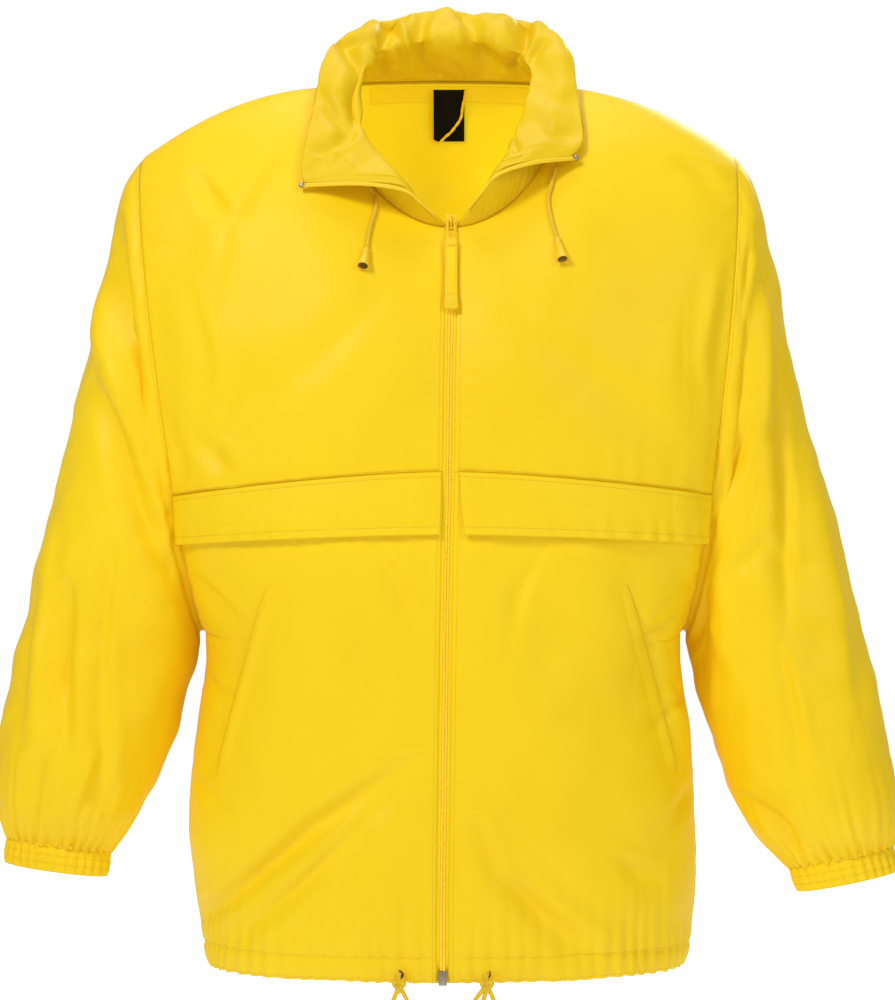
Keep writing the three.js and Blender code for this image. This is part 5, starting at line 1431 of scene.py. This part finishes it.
def repeatTree(name, material):
    # one rounded bead repeated along a line; the line's points hold the way across it as "side"
    tree = bpy.data.node_groups.new(name, "GeometryNodeTree")
    tree.interface.new_socket("Geometry", in_out="INPUT", socket_type="NodeSocketGeometry")
    for label, value in (("Pitch", 0.003), ("Long", 0.002), ("Wide", 0.0005), ("High", 0.0005)):
        tree.interface.new_socket(label, in_out="INPUT", socket_type="NodeSocketFloat").default_value = value
    tree.interface.new_socket("Geometry", in_out="OUTPUT", socket_type="NodeSocketGeometry")
    nodes, link = tree.nodes, tree.links.new
    source = nodes.new("NodeGroupInput")
    line = nodes.new("GeometryNodeMeshToCurve")
    evenly = nodes.new("GeometryNodeResampleCurve")
    evenly.mode = "LENGTH"
    bead = nodes.new("GeometryNodeMeshUVSphere")
    bead.inputs["Segments"].default_value = 6
    bead.inputs["Rings"].default_value = 4
    bead.inputs["Radius"].default_value = 0.5
    sizes = nodes.new("ShaderNodeCombineXYZ")
    shaped = nodes.new("GeometryNodeTransform")
    sideways = nodes.new("GeometryNodeInputNamedAttribute")
    sideways.data_type = "FLOAT_VECTOR"
    sideways.inputs["Name"].default_value = "side"
    tangent = nodes.new("GeometryNodeInputTangent")
    turnLong = nodes.new("FunctionNodeAlignRotationToVector")
    turnLong.axis = "Z"
    turnSide = nodes.new("FunctionNodeAlignRotationToVector")
    turnSide.axis = "X"
    turnSide.pivot_axis = "Z"
    placed = nodes.new("GeometryNodeInstanceOnPoints")
    real = nodes.new("GeometryNodeRealizeInstances")
    rounded = nodes.new("GeometryNodeSetShadeSmooth")
    finish = nodes.new("GeometryNodeSetMaterial")
    finish.inputs["Material"].default_value = material
    result = nodes.new("NodeGroupOutput")
    link(source.outputs["Geometry"], line.inputs["Mesh"])
    link(line.outputs["Curve"], evenly.inputs["Curve"])
    link(source.outputs["Pitch"], evenly.inputs["Length"])
    for label, axis in (("Wide", "X"), ("High", "Y"), ("Long", "Z")):
        link(source.outputs[label], sizes.inputs[axis])
    link(bead.outputs["Mesh"], shaped.inputs["Geometry"])
    link(sizes.outputs["Vector"], shaped.inputs["Scale"])
    link(tangent.outputs["Tangent"], turnLong.inputs["Vector"])
    link(turnLong.outputs["Rotation"], turnSide.inputs["Rotation"])
    link(sideways.outputs["Attribute"], turnSide.inputs["Vector"])
    link(evenly.outputs["Curve"], placed.inputs["Points"])
    link(shaped.outputs["Geometry"], placed.inputs["Instance"])
    link(turnSide.outputs["Rotation"], placed.inputs["Rotation"])
    link(placed.outputs["Instances"], real.inputs["Geometry"])
    link(real.outputs["Geometry"], rounded.inputs["Geometry"])
    link(rounded.outputs["Geometry"], finish.inputs["Geometry"])
    link(finish.outputs["Geometry"], result.inputs["Geometry"])
    return tree


def repeatAlong(name, lines, tree, sizes, body="garment"):
    # lines is a list of (points, sideways) in millimetres; the result is one plain mesh
    points, sideways, edges = [], [], []
    for path, across in lines:
        first = len(points)
        points += (np.asarray(path) / 1000).tolist()
        sideways += np.asarray(across).tolist()
        edges += [(first + i, first + i + 1) for i in range(len(path) - 1)]
    mesh = bpy.data.meshes.new(name)
    mesh.from_pydata(points, edges, [])
    mesh.attributes.new("side", "FLOAT_VECTOR", "POINT").data.foreach_set(
        "vector", np.array(sideways).ravel()
    )
    piece = bpy.data.objects.new(name, mesh)
    sceneObjects.link(piece)
    modifier = piece.modifiers.new("repeat", "NODES")
    modifier.node_group = tree
    for item in tree.interface.items_tree:
        if item.in_out == "INPUT" and item.name in sizes:
            modifier[item.identifier] = sizes[item.name] / 1000
    bpy.context.view_layer.update()
    made = bpy.data.meshes.new_from_object(piece.evaluated_get(bpy.context.evaluated_depsgraph_get()))
    piece.modifiers.clear()
    piece.data = made
    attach(piece, body)
    print(name, "triangles", sum(len(p.vertices) - 2 for p in made.polygons))
    return piece


teethTree = repeatTree("zip_teeth", coilYellowPaintedGlow)
stitchTree = repeatTree("stitches", threadYellow)
toothSizes = dict(
    Pitch=zipSet["toothPitch"], Long=zipSet["toothLong"], Wide=zipSet["toothWide"], High=zipSet["toothHigh"]
)
closedTeeth = []
for side in sides:
    # the two rows are half a pitch apart, so their teeth interlock
    places = zipLine + side["sign"] * zipSet["coilMiddle"] * vec(1, 0, 0) + zipOut * 0.15
    if side["sign"] < 0:
        places[0] = mix(places[0], places[1], 0.32)
    closedTeeth.append((places, np.broadcast_to(vec(1, 0, 0), places.shape)))
repeatAlong("zip_teeth_closed", closedTeeth, teethTree, toothSizes)


def smoothMesh(piece, bevel, segments=3):
    # bevels a solid's edges and keeps the plain result
    modifier = piece.modifiers.new("round", "BEVEL")
    modifier.width = bevel / 1000
    modifier.segments = segments
    modifier.limit_method = "ANGLE"
    modifier.angle_limit = math.radians(35)
    bpy.context.view_layer.update()
    made = bpy.data.meshes.new_from_object(piece.evaluated_get(bpy.context.evaluated_depsgraph_get()))
    piece.modifiers.clear()
    piece.data = made
    made.polygons.foreach_set("use_smooth", [True] * len(made.polygons))
    return piece


def plate(outline, back, front):
    # a closed plate from an outline of (x, z), between two depths
    rings = [stack([p[0] for p in outline], depth, [p[1] for p in outline]) for depth in (back, front)]
    return loft(rings)


def roundedOutline(halfTop, halfFoot, top, foot, corner, steps=8):
    outline = []
    for x, z, start in (
        (halfFoot, foot, -90), (halfTop, top, 0), (-halfTop, top, 90), (-halfFoot, foot, 180)
    ):
        cx = x - math.copysign(corner, x)
        cz = z + corner if z == foot else z - corner
        for k in range(steps + 1):
            turn = math.radians(start + 90 * k / steps)
            outline.append((cx + corner * math.cos(turn), cz + corner * math.sin(turn)))
    return outline


def tubeParts(path, radius, around=16, flat=1.0):
    tangents, sideways, upright = pathFrames(path)
    turn = np.arange(around) * 2 * math.pi / around
    return loft(
        [
            at + np.outer(radius * np.cos(turn), side) + np.outer(radius * flat * np.sin(turn), up)
            for at, side, up in zip(path, sideways, upright)
        ]
    )


def joinParts(parts):
    points, faces, before = [], [], 0
    for own, ownFaces in parts:
        points.append(own)
        faces += [[i + before for i in face] for face in ownFaces]
        before += len(own)
    return np.concatenate(points), faces


def tilted(points, degrees, origin):
    # turned about the x axis, then moved to its place
    a = math.radians(degrees)
    x, y, z = points[:, 0], points[:, 1], points[:, 2]
    return stack(x, y * math.cos(a) - z * math.sin(a), y * math.sin(a) + z * math.cos(a)) + np.array(origin)


sliderSet = dict(at=(3, -79.5, -120.5), tilt=-28, thick=3.6, bar=1.3)
pullSet = dict(
    at=(3, -83.96, -118.13), tilt=-27, linkWide=5.1, linkLong=19, bar=0.75, width=11, length=68, thick=2.4
)

size = sliderSet
body = [
    (-3.4, -7), (3.4, -7), (3.8, -6.4), (4.1, -2), (4.9, 2.4), (5, 6), (4.3, 7), (1.6, 7), (0, 5.4),
    (-1.6, 7), (-4.3, 7), (-5, 6), (-4.9, 2.4), (-4.1, -2), (-3.8, -6.4)
]
archPath = smoothPath(
    [(0, -3.2, 4.2), (0, -5.6, 3.9), (0, -7.1, 2), (0, -7.15, -2), (0, -5.6, -3.9), (0, -3.2, -4.2)], 40
)
parts = [
    plate(body, 0, -1.3), plate(body, -2.3, -3.6),
    plate([(p[0] * 0.72, p[1] * 0.86) for p in body], -1.2, -2.4)
]
parts.append(tubeParts(archPath, 1.3, 16, 0.55))
points, faces = joinParts(parts)
sliderPiece = addMesh("zip_slider_cast", tilted(points, size["tilt"], size["at"]), faces, [mouldedYellow])
smoothMesh(sliderPiece, 0.35)
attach(sliderPiece, "garment")
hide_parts("zip_slider")

size = pullSet
half = size["linkWide"] / 2
linkLoop = [
    (-half, 0, -1), (-half, 0, -size["linkLong"]), (-half + 1, 0, -size["linkLong"] - 1),
    (half - 1, 0, -size["linkLong"] - 1)
]
linkLoop += [
    (half, 0, -size["linkLong"]), (half, 0, -1), (half - 0.7, 0, -0.1), (0, 0, 0), (-half + 0.7, 0, -0.1),
    (-half, 0, -1.2)
]
tabTop = -17.6
tabFoot = tabTop - size["length"]
outline = roundedOutline(size["width"] / 2 - 0.35, size["width"] / 2 - 0.35, tabTop, tabFoot + 1, 2.6)
ledge = roundedOutline(size["width"] / 2, size["width"] / 2, tabFoot + 12, tabFoot, 1.4)
inner = roundedOutline(size["width"] / 2 - 2, size["width"] / 2 - 2, tabTop - 9, tabFoot + 14.5, 1.2)
bridge = roundedOutline(size["width"] / 2 - 1.2, size["width"] / 2 - 0.6, tabTop + 0.4, tabTop - 7, 2.2)
parts = [tubeParts(smoothPath(linkLoop, 90), size["bar"], 12)]
parts.append(plate(outline, size["thick"] / 2 - 0.2, -size["thick"] / 2 + 0.35))
parts.append(plate(ledge, size["thick"] / 2, -size["thick"] / 2 - 0.1))
parts.append(plate(bridge, size["thick"] / 2, -size["thick"] / 2 - 0.3))
points, faces = joinParts(parts)
pullPiece = addMesh("zip_pull_moulded", tilted(points, size["tilt"], size["at"]), faces, [mouldedYellow])
smoothMesh(pullPiece, 0.5)
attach(pullPiece, "pull")
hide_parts("zip_pull")
points, faces = plate(inner, 0, -size["thick"] / 2 - 0.05)
inlay = addMesh("zip_pull_inlay", tilted(points, size["tilt"], size["at"]), faces, [nylonSmall])
smoothMesh(inlay, 0.3)
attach(inlay, "pull")

boxLow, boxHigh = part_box("zip_box")
boxMiddle = (np.array(boxLow) + np.array(boxHigh)) * 500
outline = roundedOutline(3.5, 3.5, 6, -6, 1.2)
points, faces = joinParts(
    [plate(outline, 1.9, -1.7), plate(roundedOutline(2.5, 2.5, 4.6, -4.6, 0.9), -1.5, -2.0)]
)
boxPiece = addMesh("zip_box_metal", points + boxMiddle, faces, [stopMetal])
smoothMesh(boxPiece, 0.4)
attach(boxPiece, "garment")
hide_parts("zip_box")
print("zip made")


# Open zip along the collar's front ends: a rolled tape edge with its teeth and the top stop

openZipSet = dict(reach=2.4, radius=2.0, first=1, last=5, stopLong=4)


def openZipPath(side):
    # the same path as the solid's: along the collar's outer layer, pushed away from its end
    grid = collarGrid(26, 12)
    section, beside = (grid[0], grid[1]) if side["sign"] < 0 else (grid[-1], grid[-2])
    path = []
    for k in range(openZipSet["first"], openZipSet["last"] + 1):
        run = unit(section[k + 1] - section[k - 1])
        away = section[k] - beside[k]
        away = unit(away - run * np.dot(away, run))
        path.append(section[k] + away * openZipSet["reach"])
    return smoothPath(path, 80), section, beside


openTeeth = []
for side in sides:
    path, section, beside = openZipPath(side)
    inward = beside[3] - section[3]
    tangents = unit(np.gradient(path, axis=0))
    inward = unit(inward - tangents * (tangents @ inward)[:, None])
    upright = unit(np.cross(tangents, inward))
    turn = np.arange(20) * 2 * math.pi / 20
    rings = [
        at + np.outer(openZipSet["radius"] * np.cos(turn), i) + np.outer(1.35 * np.sin(turn), u)
        for at, i, u in zip(path, inward, upright)
    ]
    points, faces = loft(rings)
    edgeRoll = addMesh("zip_edge_" + side["name"], points, faces, [tapeYellow])
    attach(edgeRoll, "garment")
    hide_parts("zip_open_" + side["name"])
    openTeeth.append((path - inward * 1.1, inward))
    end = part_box("zip_stop_" + side["name"])
    middle = (np.array(end[0]) + np.array(end[1])) * 500
    direction = unit(path[-1] - path[-6])
    long = openZipSet["stopLong"]
    profile = [
        (0, 0), (1.7, 0), (2.3, 0.35), (2.6, 1), (2.6, long - 1), (2.3, long - 0.35), (1.7, long), (0, long)
    ]
    stop = turnedPiece(
        "zip_stop_crimped_" + side["name"], profile, middle - direction * long / 2, direction, [stopMetal]
    )
    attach(stop, "garment")
    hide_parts("zip_stop_" + side["name"])
    # the tape between the collar's two layers, which closes the collar's front end
    rows = pieceNotes["collar_cloth"]["grid"]
    ownEnd, nextIn = (rows[0], rows[3]) if side["sign"] < 0 else (rows[-1], rows[-4])
    count = len(ownEnd) // 2
    shares = np.linspace(0, 1, 7)[None, :, None]
    facing = mix(ownEnd[:count][:, None], ownEnd[::-1][:count][:, None], shares)
    inner = mix(nextIn[:count][:, None], nextIn[::-1][:count][:, None], shares)
    facing += unit(inner - facing) * 0.6
    long = float(arcLengths(facing, 0)[-1].mean()) / 1000
    strip(
        "collar_end_tape_" + side["name"], None, facing, 0.7, [nylonDoubleShaded],
    )
repeatAlong("zip_teeth_open", openTeeth, teethTree, dict(toothSizes, Wide=2.2, High=2.2))


# Hem eyelets: a moulded ring round a hole, whose inner slope and wall are painted dark red-brown as painted
# shade

eyeletSet = dict(hole=2.6, ring=5.2)
for side in sides:
    node = "hem_eyelet_" + side["name"]
    low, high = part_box(node)
    middle = (np.array(low) + np.array(high)) * 500
    _, out = zipMiddle([-748, -740])
    outward = unit(vec(side["sign"] * 0.1, *out[0][1:]))
    size = eyeletSet
    profile = [
        (size["hole"], -3.2), (size["hole"] + 0.5, -3.2), (size["hole"] + 0.5, -0.6), (size["ring"], -0.6),
        (size["ring"], -0.1)
    ]
    profile += [
        (size["ring"] - 0.5, 0.45), (4.2, 0.7), (size["hole"] + 0.6, 0.5), (size["hole"], 0.1),
        (size["hole"], -3.2)
    ]
    # the tube behind, the inner slope and the hole wall take the painted shade
    kinds = [1, 1, 0, 0, 0, 0, 1, 1, 1]
    side1 = unit(np.cross(outward, vec(0, 0, 1)))
    up = np.cross(side1, outward)
    turn = np.arange(36) * 2 * math.pi / 36
    rings = [
        middle + outward * h + np.outer(r * np.cos(turn), side1) + np.outer(r * np.sin(turn), up)
        for r, h in profile
    ]
    points, faces = loft(rings, closed=False)
    ring = addMesh(
        "eyelet_ring_" + side["name"], points, faces, [mouldedYellow, eyeletHolePaintedShade],
        [kind for kind in kinds for _ in range(36)]
    )
    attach(ring, "garment")
    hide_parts(node)


# Inside the back of the neck: tape, bare label and hanging loop

neckTapeSet = dict(fromX=-68, toX=71, top=2, drop=13, thick=0.8, off=0.5)
labelSet = dict(fromX=-12.4, toX=15, topZ=10, footZ=-33, thick=0.7, off=1.6)
loopSet = dict(
    radius=1.25,
    off=3.4,
    line=[
        (-14.9, 9), (-15.2, -12), (-13.6, -31), (-8, -34.5), (0, -27.6), (8.8, -18.8), (13.6, -5.6),
        (15.5, 9)
    ],
)


def insideStrip(fromX, toX, topOf, footOf, off, thick, rows, columns):
    grid = np.zeros((rows + 1, columns + 1, 3))
    for j, x in enumerate(np.linspace(fromX, toX, columns + 1)):
        for i, share in enumerate(np.linspace(0, 1, rows + 1)):
            z = mix(footOf(x), topOf(x), share)
            place, normal = surfaceAt("back_cloth", x, min(z, topOf(x) - 0.3), True)
            grid[i, j] = (x, place[1] - off - thick / 2, z)
    for _ in range(4):
        grid[:, 1:-1, 1] = (grid[:, :-2, 1] + 2 * grid[:, 1:-1, 1] + grid[:, 2:, 1]) / 4
    return grid


def seamHeight(x):
    return neckSet["sideZ"] + neckSet["rise"] * math.sqrt(1 - (x / neckSet["half"]) ** 2)


size = neckTapeSet
tapeGrid = insideStrip(
    size["fromX"], size["toX"], lambda x: seamHeight(x) - size["top"],
    lambda x: seamHeight(x) - size["top"] - size["drop"], size["off"], size["thick"], 14, 120
)
strip("neck_tape_sewn", "neck_tape", tapeGrid, size["thick"], [neckNylonPaintedGlow], flip=True)
size = labelSet
labelGrid = insideStrip(
    size["fromX"], size["toX"], lambda x: size["topZ"], lambda x: size["footZ"], size["off"], size["thick"],
    44, 28
)
labelGrid[..., 1] -= 0.5 * np.sin(np.linspace(0, math.pi, 45))[:, None]
strip(
    "neck_label_woven", "neck_label", labelGrid, size["thick"], [labelBlack],
    flip=True
)
size = loopSet
hanging = []
for x, z in size["line"]:
    place, normal = surfaceAt("back_cloth", x, z, True)
    hanging.append((x, place[1] - size["off"] - 0.5, z))
loopPath = smoothPath(hanging, 110)
crumple = np.linspace(0, 1, len(loopPath))
loopPath[:, 0] += 0.5 * np.sin(crumple * 34)
points, faces = loft(braidedRings(loopPath, size["radius"], 18, 0.16, 7.0, 2))
loopPiece = addMesh("hanger_loop_sewn", points, faces, [nylonSmall])
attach(loopPiece, "garment")
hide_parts("hanger_loop")
print("neck trims made")


# Stitches: every seam line is read off the cloth it is sewn through

stitchSet = dict(pitch=3.3, long=2.5, wide=0.55, high=0.55, raised=0.62)


def seamAcross(name, away, last=False, rows=slice(None)):
    # a line that keeps its distance from the first or last column
    note = pieceNotes[name]
    points, sideways = [], []
    for grid, normals, run in zip(note["grid"][rows], note["normals"][rows], note["across"][rows]):
        place = run[-1] - away if last else away
        at = vec(*[np.interp(place, run, grid[:, axis]) for axis in range(3)])
        normal = unit(vec(*[np.interp(place, run, normals[:, axis]) for axis in range(3)]))
        points.append(at + normal * note.get("half", stitchSet["raised"]))
        sideways.append(grid[1] - grid[0])
    return np.array(points), unit(np.array(sideways))


def seamAlong(name, away, last=False, columns=slice(None)):
    # a line that keeps its distance from the first or last row
    note = pieceNotes[name]
    points, sideways = [], []
    for k in range(note["grid"].shape[1])[columns]:
        grid, normals, run = note["grid"][:, k], note["normals"][:, k], note["along"][:, k]
        place = run[-1] - away if last else away
        at = vec(*[np.interp(place, run, grid[:, axis]) for axis in range(3)])
        normal = unit(vec(*[np.interp(place, run, normals[:, axis]) for axis in range(3)]))
        points.append(at + normal * note.get("half", stitchSet["raised"]))
        sideways.append(grid[1] - grid[0])
    return np.array(points), unit(np.array(sideways))


seams = []
for side in sides:
    name = side["name"]
    seams.append(seamAcross("front_upper_cloth_" + name, 4.0))
    seams.append(seamAcross("front_lower_cloth_" + name, 4.0))
    seams.append(seamAlong("front_upper_cloth_" + name, 2.6, columns=slice(2, -1)))
    seams.append(seamAlong("front_upper_cloth_" + name, 2.4, True, slice(48, -2)))
    seams.append(seamAlong("chest_flap_cloth_" + name, 4.0, True, slice(1, -1)))
    seams.append(seamAlong("chest_flap_cloth_" + name, 6.6, columns=slice(1, -1)))
    seams.append(seamAlong("front_lower_cloth_" + name, 21.5, columns=slice(3, -1)))
    seams.append(seamAlong("front_lower_cloth_" + name, 3.0, columns=slice(3, -1)))
    seams.append(seamAcross("pocket_edge_" + name, 3.2, True, slice(2, -2)))
    cuffColumns = slice(0, None)
    seams.append(seamAlong("cuff_band_" + name, 7.4, columns=cuffColumns))
    seams.append(seamAlong("cuff_band_" + name, 14.0, columns=cuffColumns))
    seams.append(seamAlong("sleeve_cloth_" + name, 2.4, columns=cuffColumns))
seams.append(seamAlong("back_cloth", 21.5, columns=slice(1, -1)))
seams.append(seamAlong("back_cloth", 3.0, columns=slice(1, -1)))
seams.append(seamAcross("collar_cloth", 3.0, rows=slice(3, -3)))
seams.append(seamAcross("collar_cloth", 3.0, True, slice(3, -3)))
seams.append(seamAlong("neck_tape_sewn", 1.4, columns=slice(1, -1)))
stitchSizes = dict(
    Pitch=stitchSet["pitch"], Long=stitchSet["long"], Wide=stitchSet["wide"], High=stitchSet["high"]
)
repeatAlong("stitches", seams, stitchTree, stitchSizes)
print("stitches made")


# Floor and lights

stageSet = dict(
    floorZ=-1.35, radius=9.0, colour=(0.9, 0.9, 0.9), glow=0.34, fadeFrom=1.6, fadeTo=3.6, world=0.26
)


def makeStage():
    # one large round floor, open on every side
    turn = np.arange(48) * 2 * math.pi / 48
    points = [
        (stageSet["radius"] * math.cos(a), stageSet["radius"] * math.sin(a), stageSet["floorZ"])
        for a in turn
    ]
    mesh = bpy.data.meshes.new("floor")
    mesh.from_pydata(points, [], [list(range(48))])
    floor = bpy.data.objects.new("floor", mesh)
    material, tree, shader = newMaterial("floor_white")
    shader.inputs["Base Color"].default_value = (*stageSet["colour"], 1)
    shader.inputs["Roughness"].default_value = 0.9
    shader.inputs["Emission Color"].default_value = (1, 1, 1, 1)
    # the floor fades to the white behind it, so no edge shows
    away = tree.nodes.new("ShaderNodeVectorMath")
    away.operation = "LENGTH"
    tree.links.new(scaledCoordinates(tree, (1, 1, 1)), away.inputs[0])
    fade = addNode(
        tree, "ShaderNodeMapRange", From_Min=stageSet["fadeFrom"], From_Max=stageSet["fadeTo"],
        To_Min=stageSet["glow"]
    )
    tree.links.new(away.outputs["Value"], fade.inputs["Value"])
    # only the camera sees the fade, so the far floor throws no extra light
    rays = tree.nodes.new("ShaderNodeLightPath")
    choose = addNode(tree, "ShaderNodeMix", A=stageSet["glow"])
    tree.links.new(rays.outputs["Is Camera Ray"], choose.inputs["Factor"])
    tree.links.new(fade.outputs["Result"], choose.inputs["B"])
    tree.links.new(choose.outputs["Result"], shader.inputs["Emission Strength"])
    mesh.materials.append(material)
    sceneObjects.link(floor)


def makeWorld():
    # soft light from all round; what shows behind the jacket is plain white
    world = bpy.data.worlds.new("studio")
    world.use_nodes = True
    tree = world.node_tree
    soft = tree.nodes["Background"]
    soft.inputs["Color"].default_value = (1, 1, 1, 1)
    soft.inputs["Strength"].default_value = stageSet["world"]
    shown = tree.nodes.new("ShaderNodeBackground")
    shown.inputs["Color"].default_value = (1, 1, 1, 1)
    rays = tree.nodes.new("ShaderNodeLightPath")
    choose = tree.nodes.new("ShaderNodeMixShader")
    tree.links.new(rays.outputs["Is Camera Ray"], choose.inputs["Fac"])
    tree.links.new(soft.outputs["Background"], choose.inputs[1])
    tree.links.new(shown.outputs["Background"], choose.inputs[2])
    tree.links.new(choose.outputs["Shader"], tree.nodes["World Output"].inputs["Surface"])
    bpy.context.scene.world = world


def addLight(name, place, target, size, power, colour=(1, 1, 1)):
    light = bpy.data.objects.new(name, bpy.data.lights.new(name, "AREA"))
    light.data.shape = "RECTANGLE"
    light.data.size, light.data.size_y = size
    light.data.energy = power
    light.data.color = colour
    light.location = place
    direction = np.array(target) - np.array(place)
    flat = math.hypot(direction[0], direction[1])
    light.visible_camera = False
    light.rotation_euler = (
        math.pi / 2 + math.atan2(direction[2], flat), 0, math.atan2(-direction[0], direction[1])
    )
    sceneObjects.link(light)


makeStage()
addLight("key", (-1.5, -2.2, 1.7), (0, 0, -0.3), (0.8, 0.8), 51)
addLight("fill", (1.7, -2.4, 1.0), (0, 0, -0.3), (1.2, 1.2), 21)
addLight("top", (0, 0.3, 1.9), (0, 0, -0.3), (1.4, 1.0), 17)
addLight("back", (1.4, 2.6, 1.5), (0, 0, -0.3), (1.0, 1.0), 34)
makeWorld()
bpy.context.scene.view_settings.view_transform = "Standard"
